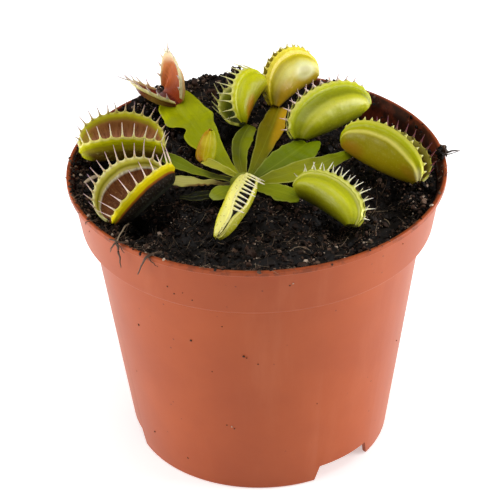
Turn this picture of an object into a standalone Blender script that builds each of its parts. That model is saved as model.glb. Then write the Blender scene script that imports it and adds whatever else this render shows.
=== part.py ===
"""Potted venus flytrap: a rosette of trap leaves in peat, in a round plastic nursery pot.

Metres, +Z up, the pot's foot on z = 0 and the front of the plant toward -Y.
The tables are written in millimetres and scaled by MM.
"""
import math

import bmesh
import bpy
from mathutils import Matrix, Vector

NAME = "potted_venus_flytrap"
MM = 0.001
GAP = 0.3                      # clearance between neighbours

# ---------------------------------------------------------------- pot
RIM_R = 45.0
RIM_Z = 72.0
LIP = 1.3                      # height of the thin lip at the rim
WALL = 1.2
COLLAR_TOP = (43.9, 70.3)      # outer radius, height
COLLAR_FOOT = (42.0, 58.8)
BODY_TOP = (39.4, 57.4)
FOOT_R = 31.3
FLOOR_Z = 4.7                  # underside of the floor
FLOOR_T = 1.2
POT_SEGMENTS = 48
NOTCH_HEIGHT = 4.3
NOTCH_AZIMUTHS = (39.0, 159.0, -81.0)   # degrees from the front toward +X
NOTCH_WIDTH = (19.0, 14.6)     # across the notch at the bottom and at its top
NOTCH_DEPTH = 9.0              # cutter's reach through the foot ring
DRAIN_R = 2.4
DRAIN_RING = 24.5
DRAIN_COUNT = 6
DRAIN_SEGMENTS = 14
DRAIN_CUT = 4.8                # length of the cut through the floor
EDGE = 0.4                     # small chamfers of the rim
SHARP_ANGLE = 40.0             # edges over this many degrees stay sharp

# ---------------------------------------------------------------- soil
SOIL_SEGMENTS = 36
SOIL_RINGS = (6.0, 11.0, 16.0, 21.0, 26.0, 31.0, 35.5, 39.0)
SOIL_Z = 70.3
SOIL_EDGE_R = 41.5             # where the height of the soil's edge is read
SOIL_EDGE_MAX = 72.8           # the heap never stands higher than this at the wall
SOIL_GAP = 0.45                # soil to wall, measured across, for a clear gap along the slope too
SOIL_SPREAD = 0.7              # how sharply a heap or a dip falls away
SOIL_WAVE = (0.35, 0.42, 0.37)      # height and two rates of the broad waves
SOIL_RIPPLE = (0.22, 0.83, -0.61)   # height and two rates of the fine ones

# (x, y, height change, reach): the heap at the back left, the low side at the right
SOIL_SHAPE = (
    (-20.0, 30.0, 3.2, 17.0), (-2.0, 36.0, 2.4, 13.0), (-34.0, 14.0, 0.8, 12.0),
    (36.0, 14.0, -5.0, 16.0), (25.0, 29.0, -3.6, 13.0), (35.0, -14.0, -1.6, 10.0),
    (15.0, -24.0, -3.0, 8.5), (28.0, -4.0, -2.4, 8.0), (-26.0, -19.0, -3.6, 9.0),
    (-32.0, 2.0, -2.2, 9.0), (17.0, 11.0, -1.6, 9.0), (-7.0, -29.0, -0.8, 7.0),
)

# ---------------------------------------------------------------- rosette
CROWN = (-3.0, -6.2, 70.4)
CROWN_RADII = (3.4, 3.4, 3.3)
BALL_SEGMENTS = (20, 12)       # around and down the crown

# ---------------------------------------------------------------- lobes
LOBE_SWEEP = math.radians(104.0)
RIM_ARC_SHARE = 0.70           # part of a lobe's width that belongs to the round rim
END_FLATTEN = 0.72
END_POWER = 2.6
TAPER_POWER = 1.5
LOBE_T = 0.55
TOOTH_TIP = 0.16               # size of a tooth's tip against its root
END_TOOTH_LOSS = 0.35          # how much shorter the teeth are at the ends of the rim
PLAIN_ROWS = 13                # stations along a lobe without teeth
SHEET_STATIONS = (-1.0, -0.8, -0.5, -0.2, 0.0, 0.2, 0.5, 0.8, 1.0)
# bulge of a lobe at shares of its width: closed with a ridge halfway up or nearer the rim, closed all but a
# slit, wide open, and the round form of the bud, to which every trap turns at both ends of its midrib
SECTIONS = {
    "ridged": ((0.0, 0.0), (0.06, 0.4), (0.14, 0.66), (0.3, 0.9), (0.48, 1.0), (0.58, 0.93), (0.66, 0.68),
               (0.76, 0.36), (0.88, 0.19), (1.0, 0.16)),
    "cupped": ((0.0, 0.0), (0.06, 0.42), (0.14, 0.66), (0.3, 0.88), (0.5, 0.98), (0.66, 1.0), (0.75, 0.92),
               (0.81, 0.66), (0.9, 0.5), (1.0, 0.46)),
    "gaping": ((0.0, 0.0), (0.06, 0.42), (0.14, 0.7), (0.3, 0.96), (0.5, 1.0), (0.68, 0.8), (0.8, 0.54),
               (0.9, 0.4), (1.0, 0.32)),
    "open": ((0.0, 0.0), (0.06, 0.25), (0.14, 0.5), (0.3, 0.85), (0.5, 1.0),
             (0.68, 0.86), (0.8, 0.58), (0.9, 0.42), (1.0, 0.36)),
    "bud": ((0.0, 0.0), (0.14, 0.5), (0.3, 0.85), (0.5, 1.0), (0.8, 0.72), (1.0, 0.14)),
}

# name: neck, tip, mouth direction, rim/midrib length, lobe width, arch, lobe leans (deg), bulge,
# how much slimmer the tip end is, section, teeth a side, tooth length, tooth lean inward (deg),
# skin thickness where it isn't LOBE_T
TRAPS = {
    "left_upper": dict(neck=(-23.5, 4.5, 74.0), tip=(-40.0, 3.5, 74.5), mouth=(0.0, 0.05, 1.0), rim=1.20,
                       width=9.5, arch=0.0, lean=(33, 35), bulge=4.2, section="open", teeth=12,
                       tooth=3.3, curl=12, skin=(0.30, 0.42, 0.03), rough=0.42),
    "left_lower": dict(neck=(-21.0, -11.0, 76.0), tip=(-32.5, -22.0, 71.5), mouth=(-0.41, 0.03, 0.91),
                       rim=1.17, width=10.4, arch=0.0, lean=(38, 37), bulge=4.2, section="open",
                       teeth=12, tooth=4.2, curl=12, skin=(0.42, 0.45, 0.03), rough=0.42),
    "rear_left": dict(neck=(-19.2, 22.5, 77.0), tip=(-23.4, 31.5, 75.2), mouth=(-0.48, 0.0, 0.88),
                      rim=1.15, width=11.5, arch=0.5, lean=(27, 27), bulge=2.6, section="open",
                      teeth=9, tooth=2.4, curl=-4, skin=(0.55, 0.16, 0.06), rough=0.45),
    "rear_centre": dict(neck=(-2.5, 12.5, 76.5), tip=(2.5, 24.5, 80.0), mouth=(-0.82, 0.0, 0.57), rim=1.10,
                        width=8.5, arch=0.5, lean=(30, 18), bulge=2.6, section="open", teeth=11,
                        tooth=3.2, curl=28, skin=(0.38, 0.48, 0.03), rough=0.42),
    "rear_top": dict(neck=(5.5, 25.2, 73.7), tip=(15.1, 35.4, 75.5), mouth=(-0.36, 0.18, 0.92), rim=1.23,
                     width=11.0, arch=0.5, lean=(1, 1), bulge=3.0, section="ridged", teeth=10,
                     tooth=1.0, curl=20, skin=(0.62, 0.52, 0.06), rough=0.42),
    "right_rear": dict(neck=(11.5, 6.5, 75.2), tip=(25.0, 16.5, 75.9), mouth=(-0.30, 0.42, 0.86),
                       rim=1.42, width=9.8, arch=-0.4, lean=(0, 0), bulge=4.1, section="ridged",
                       teeth=12, tooth=2.0, curl=24, skin=(0.34, 0.44, 0.04), rough=0.36),
    "right": dict(neck=(21.5, 2.5, 74.5), tip=(36.6, -9.7, 72.5), mouth=(0.37, 0.34, 0.86), rim=1.18,
                  width=9.9, arch=-0.7, lean=(25, 9), bulge=3.3, section="cupped", teeth=12,
                  tooth=1.6, curl=8, skin=(0.46, 0.50, 0.07), rough=0.36),
    "right_front": dict(neck=(9.8, -17.0, 74.5), tip=(20.4, -27.0, 72.5), mouth=(0.55, 0.44, 0.71),
                        rim=1.32, width=8.0, arch=0.3, lean=(0, 0), bulge=3.7, section="ridged",
                        teeth=11, tooth=2.5, curl=4, skin=(0.40, 0.50, 0.04), rough=0.36),
    "front": dict(neck=(-2.0, -16.9, 79.0), tip=(-9.3, -31.7, 72.5), mouth=(0.42, -0.47, 0.78), rim=0.95,
                  width=6.3, arch=0.5, lean=(5, 5), bulge=2.7, taper=0.22, section="gaping", teeth=10,
                  tooth=1.4, curl=66, skin=(0.44, 0.50, 0.05), rough=0.40),
    "young": dict(neck=(-12.4, -1.6, 74.6), tip=(-10.7, 2.8, 80.2), mouth=(0.0, 0.75, -0.65), rim=1.0,
                  width=3.3, arch=0.0, lean=(8, 8), bulge=2.1, taper=0.5, section="bud", teeth=0,
                  tooth=0.0, curl=0, thick=0.38, skin=(0.60, 0.36, 0.06), rough=0.45),
}

# leaf blades: root on the crown (azimuth from +X, height), middle point, what the tip meets (a trap, or a
# free end), half widths from root to tip, facing, fold (deg), how much narrower the left side ends, left and
# right shoulder lengths, drop below the trap's neck, colour
GREEN = (0.25, 0.42, 0.025)
BLADES = {
    "petiole_left_upper": dict(root=(163, 71.9), middle=(-15.0, -2.4, 72.9), tip="left_upper",
                               half=(0.5, 0.7, 1.1, 1.7, 1.0), face=(0.1, -0.5, 0.85), fold=14, skew=0,
                               shoulder=(0.6, 0.6), drop=0.6, skin=GREEN),
    "petiole_left_lower": dict(root=(190, 71.5), middle=(-13.5, -7.8, 72.65), tip="left_lower",
                               half=(0.5, 0.7, 1.4, 1.8, 1.1), face=(0.1, -0.45, 0.9), fold=12, skew=0,
                               shoulder=(0.6, 0.6), drop=0.85, skin=(0.40, 0.38, 0.10)),
    "petiole_rear_left": dict(root=(121, 71.7), middle=(-12.4, 9.4, 74.0), tip="rear_left",
                              half=(0.7, 2.0, 4.0, 6.2, 5.4), face=(0.1, -0.45, 0.9), fold=8, skew=0.1,
                              shoulder=(2.4, 5.4), drop=1.3, skin=(0.36, 0.52, 0.02)),
    "petiole_rear_centre": dict(root=(89, 71.9), middle=(-3.9, 5.0, 74.0), tip="rear_centre",
                                half=(0.7, 1.7, 2.2, 2.7, 1.9), face=(0.0, -0.6, 0.8), fold=12, skew=0.5,
                                shoulder=(0.0, 0.3), drop=1.6, skin=GREEN),
    "petiole_rear_top": dict(root=(58, 71.9), middle=(2.2, 7.6, 73.8), tip="rear_top",
                             half=(0.7, 1.5, 2.3, 3.0, 2.1), face=(0.1, -0.5, 0.85), fold=10, skew=0,
                             shoulder=(0.8, 0.8), drop=1.0, skin=(0.46, 0.36, 0.04)),
    "petiole_right_rear": dict(root=(24, 71.8), middle=(6.0, 0.4, 73.0), tip="right_rear",
                               half=(0.7, 2.5, 3.7, 4.6, 3.8), face=(0.1, -0.4, 0.9), fold=6, skew=0.55,
                               shoulder=(0.2, 2.8), drop=1.4, skin=GREEN),
    "petiole_right": dict(root=(-5, 71.6), middle=(10.4, -3.6, 72.8), tip="right",
                          half=(0.7, 2.3, 2.9, 2.5, 1.6), face=(0.1, -0.3, 0.95), fold=10, skew=0.3,
                          shoulder=(0.2, 2.4), drop=1.35, skin=(0.28, 0.40, 0.04)),
    "petiole_right_front": dict(root=(-39, 71.6), middle=(4.8, -12.3, 72.6), tip="right_front",
                                half=(0.7, 2.0, 2.9, 3.7, 2.8), face=(0.1, -0.2, 0.97), fold=8, skew=0.6,
                                shoulder=(0.0, 1.4), drop=1.1, skin=(0.26, 0.40, 0.05)),
    "petiole_front": dict(root=(271, 72.0), middle=(-2.6, -13.8, 74.8), tip="front",
                          half=(0.6, 1.0, 1.2, 1.1, 0.6), face=(0.0, 0.6, 0.8), fold=10, skew=0,
                          shoulder=(0.0, 0.0), drop=0.1, skin=GREEN),
    "petiole_young": dict(root=(138, 72.7), middle=(-9.2, -3.4, 74.3), tip="young",
                          half=(0.5, 0.8, 1.0, 1.1, 0.6), face=(0.1, -0.5, 0.85), fold=12, skew=0,
                          shoulder=(0.0, 0.0), drop=0.3, skin=(0.42, 0.46, 0.05)),
    "leaf_small": dict(root=(238, 71.6), middle=(-8.2, -11.6, 72.2), tip=(-10.7, -13.5, 71.8),
                       half=(0.6, 1.5, 2.1, 1.8, 0.7), face=(0.0, -0.3, 0.95), fold=8, skew=0,
                       shoulder=(0.0, 0.0), skin=(0.24, 0.40, 0.05)),
    "leaf_dead": dict(root=(213, 70.9), middle=(-12.4, -11.6, 71.35), tip=(-18.0, -12.2, 71.5),
                      half=(0.5, 1.2, 1.6, 1.3, 0.5), face=(0.0, -0.1, 1.0), fold=6, skew=0,
                      shoulder=(0.0, 0.0), skin=(0.05, 0.045, 0.02)),
}
BLADE_T = 0.5
ROOT_CLEARANCE = 0.5           # blade end to the crown's skin
NECK_CLEARANCE = 0.55          # blade tip to the trap's neck point
SHOULDER_START = 0.6           # share of the blade's length where its shoulders begin
STEP = 0.02                    # distance along the line used to find its direction
BLADE_ROWS = 9
BLADE_COLUMNS = 7


def clear_scene():
    for obj in list(bpy.data.objects):
        bpy.data.objects.remove(obj, do_unlink=True)


def new_collection(name):
    col = bpy.data.collections.new(name)
    bpy.context.scene.collection.children.link(col)
    return col


def make_material(name, rgb, rough):
    mat = bpy.data.materials.new(name)
    mat.use_nodes = True
    bsdf = mat.node_tree.nodes["Principled BSDF"]
    bsdf.inputs["Base Color"].default_value = (*rgb, 1.0)
    bsdf.inputs["Roughness"].default_value = rough
    bsdf.inputs["Metallic"].default_value = 0.0
    mat.diffuse_color = (*rgb, 1.0)
    return mat


def add_object(name, mesh, col, mat=None):
    obj = bpy.data.objects.new(name, mesh)
    col.objects.link(obj)
    if mat is not None:
        mesh.materials.append(mat)
    return obj


def apply_modifiers(obj):
    """Bake the modifier stack into the mesh."""
    depsgraph = bpy.context.evaluated_depsgraph_get()
    baked = bpy.data.meshes.new_from_object(obj.evaluated_get(depsgraph))
    obj.modifiers.clear()
    old = obj.data
    obj.data = baked
    bpy.data.meshes.remove(old)


def shade_smooth(obj, sharp_angle=None):
    obj.data.shade_smooth()
    if sharp_angle is not None:
        obj.data.set_sharp_from_angle(angle=math.radians(sharp_angle))


def lathe(name, profile, segments, col, mat=None):
    """Turn a closed (radius, height) outline about Z with a Screw modifier."""
    mesh = bpy.data.meshes.new(name)
    verts = [(r * MM, 0.0, z * MM) for r, z in profile]
    mesh.from_pydata(verts, [(i, i + 1) for i in range(len(verts) - 1)], [])
    obj = add_object(name, mesh, col, mat)
    mod = obj.modifiers.new("turn", "SCREW")
    mod.axis = "Z"
    mod.steps = mod.render_steps = segments
    mod.use_merge_vertices = True
    mod.merge_threshold = 1e-6
    mod.use_normal_calculate = True
    apply_modifiers(obj)
    bm = bmesh.new()
    bm.from_mesh(obj.data)
    bmesh.ops.remove_doubles(bm, verts=bm.verts, dist=1e-7)
    bmesh.ops.recalc_face_normals(bm, faces=bm.faces)
    bm.to_mesh(obj.data)
    bm.free()
    return obj


def cut(obj, cutter):
    """Take the cutter out of the object."""
    mod = obj.modifiers.new("cut", "BOOLEAN")
    mod.operation = "DIFFERENCE"
    mod.solver = "EXACT"
    mod.object = cutter
    cutter.hide_render = True
    cutter.display_type = "WIRE"
    apply_modifiers(obj)


# ---------------------------------------------------------------- pot and soil
def body_radius(z):
    """Outer radius of the tapered body at height z."""
    return FOOT_R + (BODY_TOP[0] - FOOT_R) * z / BODY_TOP[1]


def inner_radius(z):
    """Radius of the inside wall at height z."""
    if z < BODY_TOP[1] - WALL:
        return body_radius(z) - WALL
    if z < COLLAR_FOOT[1]:
        share = (z - BODY_TOP[1] + WALL) / (COLLAR_FOOT[1] - BODY_TOP[1] + WALL)
        return BODY_TOP[0] - WALL + share * (COLLAR_FOOT[0] - BODY_TOP[0])
    share = (z - COLLAR_FOOT[1]) / (COLLAR_TOP[1] - COLLAR_FOOT[1])
    return COLLAR_FOOT[0] - WALL + share * (COLLAR_TOP[0] - COLLAR_FOOT[0])


def front_azimuth(deg, radius, z=0.0):
    a = math.radians(deg)
    return Vector((radius * math.sin(a), -radius * math.cos(a), z))


def notch_cutter(azimuth, col):
    """A block with slanting ends that takes one notch out of the foot ring."""
    bm = bmesh.new()
    bmesh.ops.create_cube(bm, size=2.0)
    for vert in bm.verts:
        top = vert.co.z > 0
        vert.co.x *= NOTCH_WIDTH[1 if top else 0] / 2
        vert.co.y = vert.co.y * NOTCH_DEPTH / 2 - FOOT_R
        vert.co.z = NOTCH_HEIGHT if top else -NOTCH_HEIGHT
        vert.co *= MM
    bmesh.ops.rotate(bm, verts=bm.verts, matrix=Matrix.Rotation(math.radians(azimuth), 3, "Z"))
    mesh = bpy.data.meshes.new("notch_cutter")
    bm.to_mesh(mesh)
    bm.free()
    return add_object("notch_cutter", mesh, col)


def cylinder_cutter(name, centre, radius, depth, col):
    bm = bmesh.new()
    bmesh.ops.create_cone(bm, cap_ends=True, segments=DRAIN_SEGMENTS, radius1=radius * MM,
                          radius2=radius * MM, depth=depth * MM)
    bmesh.ops.translate(bm, verts=bm.verts, vec=Vector(centre) * MM)
    mesh = bpy.data.meshes.new(name)
    bm.to_mesh(mesh)
    bm.free()
    return add_object(name, mesh, col)


def build_pot(col, cutters):
    """Turned shell with its floor, then three notches in the foot and the drain holes."""
    floor_top = FLOOR_Z + FLOOR_T
    lip_z = RIM_Z - LIP
    profile = [
        (0.0, FLOOR_Z), (body_radius(FLOOR_Z) - WALL, FLOOR_Z), (FOOT_R - WALL, 0.0), (FOOT_R, 0.0),
        BODY_TOP, (COLLAR_FOOT[0] - EDGE, BODY_TOP[1] + EDGE), COLLAR_FOOT, COLLAR_TOP,
        (RIM_R, lip_z), (RIM_R, RIM_Z - EDGE), (RIM_R - EDGE, RIM_Z), (RIM_R - EDGE - WALL, RIM_Z),
        (inner_radius(lip_z), lip_z - EDGE), (inner_radius(COLLAR_FOOT[1]), COLLAR_FOOT[1]),
        (body_radius(BODY_TOP[1]) - WALL, BODY_TOP[1] - WALL),
        (inner_radius(floor_top), floor_top), (0.0, floor_top),
    ]
    mat = make_material("pot_terracotta_plastic", (0.50, 0.135, 0.055), 0.42)
    pot = lathe("pot", profile, POT_SEGMENTS, col, mat)
    for azimuth in NOTCH_AZIMUTHS:
        cut(pot, notch_cutter(azimuth, cutters))
    for i in range(DRAIN_COUNT):
        centre = front_azimuth(NOTCH_AZIMUTHS[0] + 360.0 * i / DRAIN_COUNT, DRAIN_RING, FLOOR_Z)
        cut(pot, cylinder_cutter("drain_cutter", centre, DRAIN_R, DRAIN_CUT, cutters))
    shade_smooth(pot, SHARP_ANGLE)
    return pot


def soil_height(x, y):
    """Top of the peat: a loose, uneven surface with its heap and its low side."""
    z = SOIL_Z
    for cx, cy, change, reach in SOIL_SHAPE:
        z += change * math.exp(-((x - cx) ** 2 + (y - cy) ** 2) / (SOIL_SPREAD * reach * reach))
    wave, wave_x, wave_y = SOIL_WAVE
    z += wave * math.sin(wave_x * x + 1.0) * math.cos(wave_y * y)
    ripple, ripple_x, ripple_y = SOIL_RIPPLE
    return z + ripple * math.sin(ripple_x * x + ripple_y * y)


def soil_wall_radius(z):
    return inner_radius(min(z, COLLAR_TOP[1])) - SOIL_GAP


def build_soil(col, cutters):
    """A turned plug of peat whose top points are moved to the uneven surface."""
    base_z = FLOOR_Z + FLOOR_T + GAP
    step_z = (COLLAR_FOOT[1], BODY_TOP[1] - WALL)
    profile = [(0.0, SOIL_Z)] + [(r, SOIL_Z) for r in SOIL_RINGS] + [(SOIL_EDGE_R, SOIL_Z)]
    profile += [(soil_wall_radius(z - GAP), z) for z in (*step_z, base_z)] + [(0.0, base_z)]
    mat = make_material("peat_soil", (0.018, 0.013, 0.010), 0.95)
    soil = lathe("soil", profile, SOIL_SEGMENTS, col, mat)
    for vert in soil.data.vertices:
        x, y, z = vert.co / MM
        if z < SOIL_Z - GAP:
            continue
        height = soil_height(x, y)
        reach = 1.0
        if math.hypot(x, y) > SOIL_EDGE_R - GAP:
            height = min(height, SOIL_EDGE_MAX)
            reach = soil_wall_radius(height) / SOIL_EDGE_R
        vert.co = Vector((x * reach, y * reach, height)) * MM
    cut(soil, ellipsoid("crown_pocket", CROWN, [r + GAP for r in CROWN_RADII], cutters))
    shade_smooth(soil)
    return soil


def ellipsoid(name, centre, radii, col, mat=None):
    bm = bmesh.new()
    bmesh.ops.create_uvsphere(bm, u_segments=BALL_SEGMENTS[0], v_segments=BALL_SEGMENTS[1], radius=1.0)
    bmesh.ops.scale(bm, verts=bm.verts, vec=Vector(radii) * MM)
    bmesh.ops.translate(bm, verts=bm.verts, vec=Vector(centre) * MM)
    mesh = bpy.data.meshes.new(name)
    bm.to_mesh(mesh)
    bm.free()
    return add_object(name, mesh, col, mat)


# ---------------------------------------------------------------- leaves
def sheet(name, rows, columns, place, thickness, offset, col, mat):
    """A grid laid out by place(row, column) and thickened with Solidify: outward at offset 1, evenly at 0."""
    bm = bmesh.new()
    bmesh.ops.create_grid(bm, x_segments=columns - 1, y_segments=rows - 1, size=1.0)
    bm.verts.ensure_lookup_table()
    order = sorted(bm.verts, key=lambda v: (round(v.co.y, 5), round(v.co.x, 5)))
    for i, vert in enumerate(order):
        vert.index = i
    targets = {v: place(v.index // columns, v.index % columns) for v in order}
    for vert, point in targets.items():
        vert.co = point * MM
    bm.verts.sort()
    mesh = bpy.data.meshes.new(name)
    bm.to_mesh(mesh)
    bm.free()
    obj = add_object(name, mesh, col, mat)
    mod = obj.modifiers.new("thickness", "SOLIDIFY")
    mod.thickness = thickness * MM
    mod.offset = offset
    mod.use_even_offset = True
    mod.use_rim = True
    apply_modifiers(obj)
    return obj


def frame_of(spec):
    """Centre, midrib, sideways and mouth axes of a trap."""
    neck, tip = Vector(spec["neck"]), Vector(spec["tip"])
    along = (tip - neck).normalized()
    mouth = Vector(spec["mouth"])
    mouth = (mouth - along * mouth.dot(along)).normalized()
    return (neck + tip) / 2, along, along.cross(mouth), mouth


def read_table(table, t):
    """Straight-line reading of a table of (t, value) points."""
    for (t0, f0), (t1, f1) in zip(table, table[1:]):
        if t <= t1:
            return f0 + (f1 - f0) * (t - t0) / (t1 - t0)
    return table[-1][1]


def section(kind, s, t):
    """How far a lobe bulges at the share t of its width, against its greatest bulge."""
    bulge = read_table(SECTIONS[kind], t)
    return bulge + (read_table(SECTIONS["bud"], t) - bulge) * abs(s) ** END_POWER


def lobe_point(spec, s, v):
    """Point of the trap sheet: s runs along the midrib, v from one rim (-1) to the other (1)."""
    centre, along, sideways, mouth = frame_of(spec)
    half = (Vector(spec["tip"]) - Vector(spec["neck"])).length / 2
    t, side = abs(v), (-1.0 if v < 0 else 1.0)
    arc = RIM_ARC_SHARE * spec["width"]
    mid_p, mid_q = half * s, spec["arch"] * (1 - s * s)
    phi = s * LOBE_SWEEP
    rim_p = half * spec["rim"] * math.sin(phi)
    rim_q = spec["width"] - arc + arc * math.cos(phi)
    p = mid_p + (rim_p - mid_p) * t
    q = (rim_q - mid_q) * t
    slim = 1 - spec.get("taper", 0.0) * ((s + 1) / 2) ** TAPER_POWER
    q = q * slim
    out = spec["bulge"] * slim * (1 - END_FLATTEN * abs(s) ** END_POWER) * section(spec["section"], s, t)
    lean = math.radians(spec["lean"][0 if side < 0 else 1])
    w = q * math.sin(lean) + out * math.cos(lean)
    m = q * math.cos(lean) - out * math.sin(lean) + mid_q
    return centre + along * p + sideways * (side * w) + mouth * m


def grow_teeth(obj, spec, rows, columns):
    """Draw a row of tapering teeth out of every other rim face, half a pitch apart on the two sides."""
    sideways = frame_of(spec)[2]
    bm = bmesh.new()
    bm.from_mesh(obj.data)
    bm.verts.ensure_lookup_table()
    count = rows * columns
    picked = []
    for face in bm.faces:
        ids = [v.index % count for v in face.verts]
        cols = {i % columns for i in ids}
        if len(cols) != 1 or not cols & {0, columns - 1}:
            continue
        row = min(i // columns for i in ids)
        side = -1.0 if cols == {0} else 1.0
        if row % 2 == (0 if side < 0 else 1) and 0 < row < rows - 2:
            picked.append((face, row, side))
    for face, row, side in picked:
        s = -1.0 + (2.0 * row + 1.0) / (rows - 1)
        rim = lobe_point(spec, s, side)
        inner = lobe_point(spec, s, 0.8 * side)
        outward = (rim - inner).normalized()
        curl = math.radians(spec["curl"])
        aim = (outward * math.cos(curl) - sideways * (side * math.sin(curl))).normalized()
        length = spec["tooth"] * (1.0 - END_TOOTH_LOSS * abs(s) ** 3)
        tip = bmesh.ops.extrude_discrete_faces(bm, faces=[face])["faces"][0]
        root = tip.calc_center_median()
        for vert in tip.verts:
            vert.co = root + (vert.co - root) * TOOTH_TIP + aim * (length * MM)
    bmesh.ops.recalc_face_normals(bm, faces=bm.faces)
    bm.to_mesh(obj.data)
    bm.free()


def build_trap(name, spec, col):
    """Two lobes joined at the midrib, in one sheet, with teeth along both rims."""
    teeth = spec["teeth"]
    rows = 2 * teeth + 1 if teeth else PLAIN_ROWS
    columns = len(SHEET_STATIONS)
    mat = make_material(name + "_skin", spec["skin"], spec["rough"])

    def place(row, column):
        return lobe_point(spec, -1.0 + 2.0 * row / (rows - 1), SHEET_STATIONS[column])

    obj = sheet(name, rows, columns, place, spec.get("thick", LOBE_T), 1.0, col, mat)
    if teeth:
        grow_teeth(obj, spec, rows, columns)
    shade_smooth(obj)
    return obj


def crown_point(azimuth, height):
    """A point beside the crown at about the given height, ROOT_CLEARANCE off its skin."""
    a = math.radians(azimuth)
    rise = (height - CROWN[2]) / CROWN_RADII[2]
    level = math.sqrt(max(0.0, 1.0 - rise * rise))
    on_ball = Vector((level * math.cos(a), level * math.sin(a), rise))
    skin = Vector([c + r * u for c, r, u in zip(CROWN, CROWN_RADII, on_ball)])
    return skin + on_ball * ROOT_CLEARANCE


def blade_line(spec):
    """Root, middle and tip of a blade's centreline."""
    root = crown_point(*spec["root"])
    middle = Vector(spec["middle"])
    if isinstance(spec["tip"], str):
        trap = TRAPS[spec["tip"]]
        neck = Vector(trap["neck"]) - frame_of(trap)[3] * spec["drop"]
        tip = neck + (middle - neck).normalized() * NECK_CLEARANCE
    else:
        tip = Vector(spec["tip"])
    return root, middle, tip


def bezier(points, t):
    a, b, c = points
    ctrl = b * 2 - (a + c) / 2
    return a * (1 - t) ** 2 + ctrl * (2 * t * (1 - t)) + c * t * t


def profile_at(values, t):
    """Value at the share t along evenly spaced values, smoothed between them."""
    x = t * (len(values) - 1)
    i = min(int(x), len(values) - 2)
    f = x - i
    f = f * f * (3 - 2 * f)
    return values[i] * (1 - f) + values[i + 1] * f


def build_blade(name, spec, col):
    """A leaf blade folded along its midrib, flattening toward a shouldered tip."""
    mat = make_material(name + "_skin", spec["skin"], 0.45)
    line = blade_line(spec)

    def place(row, column):
        t = row / (BLADE_ROWS - 1)
        v = -1.0 + 2.0 * column / (BLADE_COLUMNS - 1)
        p = bezier(line, t)
        ahead = (bezier(line, min(t + STEP, 1.0)) - bezier(line, max(t - STEP, 0.0))).normalized()
        side = ahead.cross(Vector(spec["face"])).normalized()
        up = side.cross(ahead)
        half = profile_at(spec["half"], t) * (1.0 - (spec["skew"] * t * t if v < 0 else 0.0))
        lift = math.tan(math.radians(spec["fold"])) * abs(v) * half * (1.0 - t * t * t)
        shoulder = spec["shoulder"][0 if v < 0 else 1] * 4.0 * abs(v) * (1.0 - abs(v))
        near_tip = max(0.0, (t - SHOULDER_START) / (1.0 - SHOULDER_START))
        return p + side * (v * half) + up * lift + ahead * (shoulder * near_tip ** 2)

    obj = sheet(name, BLADE_ROWS, BLADE_COLUMNS, place, BLADE_T, 0.0, col, mat)
    shade_smooth(obj)
    return obj


def main():
    clear_scene()
    parts = new_collection(NAME)
    cutters = new_collection("cutters")
    build_pot(parts, cutters)
    build_soil(parts, cutters)
    shade_smooth(ellipsoid("crown", CROWN, CROWN_RADII, parts,
                           make_material("crown_skin", (0.30, 0.34, 0.08), 0.6)))
    for key, spec in TRAPS.items():
        build_trap("trap_" + key, spec, parts)
    for key, spec in BLADES.items():
        build_blade(key, spec, parts)


main()
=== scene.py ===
"""Looks of the potted venus flytrap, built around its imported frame.

Metres, +Z up, the front of the plant toward -Y. The tables are in millimetres, and MM scales them.
Colours are display values, 0 to 255. Each leaf piece is a fine version of its CAD node.
"""
import math

import bmesh
import bpy
import numpy as np
from mathutils import Matrix, Vector


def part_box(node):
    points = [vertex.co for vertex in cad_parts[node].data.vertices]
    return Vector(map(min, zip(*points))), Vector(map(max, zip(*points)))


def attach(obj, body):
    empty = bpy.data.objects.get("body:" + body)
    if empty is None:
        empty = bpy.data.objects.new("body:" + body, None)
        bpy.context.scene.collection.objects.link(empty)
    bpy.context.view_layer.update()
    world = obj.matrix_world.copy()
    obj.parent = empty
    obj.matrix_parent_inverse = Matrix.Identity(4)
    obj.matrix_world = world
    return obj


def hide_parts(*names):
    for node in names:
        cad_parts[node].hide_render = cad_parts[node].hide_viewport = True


MM = 0.001
FULL_TURN = 2 * math.pi
WELD_REACH = 1e-6     # m
WAVES = 14            # sine waves that make up the smooth noise

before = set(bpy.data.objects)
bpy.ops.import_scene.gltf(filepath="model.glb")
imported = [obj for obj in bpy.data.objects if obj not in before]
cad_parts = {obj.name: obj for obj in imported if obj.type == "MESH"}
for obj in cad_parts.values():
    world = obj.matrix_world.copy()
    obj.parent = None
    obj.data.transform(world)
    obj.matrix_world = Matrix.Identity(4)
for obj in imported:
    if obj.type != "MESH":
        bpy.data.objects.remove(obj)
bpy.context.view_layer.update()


# ---------------------------------------------------------------- small helpers
def vec(*xyz):
    return np.array(xyz, float)


def unit(v):
    return v / np.linalg.norm(v, axis=-1, keepdims=True)


def smoothstep(low, high, x):
    t = np.clip((x - low) / (high - low), 0.0, 1.0)
    return t * t * (3.0 - 2.0 * t)


def bump_at(x, centre, width):
    """A smooth bump of height 1 at centre."""
    return np.exp(-((x - centre) / width) ** 2)


def crowd(x, share):
    """Places from -1 to 1 drawn toward both ends, the more the greater the share."""
    return share * np.sin(x * math.pi / 2) + (1 - share) * x


def spline(table, x):
    """Smooth curve through unevenly spaced (x, y) points."""
    xs, ys = np.array(table, float).T
    slopes = np.gradient(ys, xs)
    x = np.clip(x, xs[0], xs[-1])
    i = np.clip(np.searchsorted(xs, x, side="right") - 1, 0, len(xs) - 2)
    h = xs[i + 1] - xs[i]
    t = (x - xs[i]) / h
    a = ys[i] * (1 + 2 * t) * (1 - t) ** 2 + ys[i + 1] * t * t * (3 - 2 * t)
    return a + h * (slopes[i] * t * (1 - t) ** 2 - slopes[i + 1] * t * t * (1 - t))


def evenly(values, t):
    """Smooth reading of values spread evenly over 0 to 1."""
    return spline(list(zip(np.linspace(0, 1, len(values)), values)), t)


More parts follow.
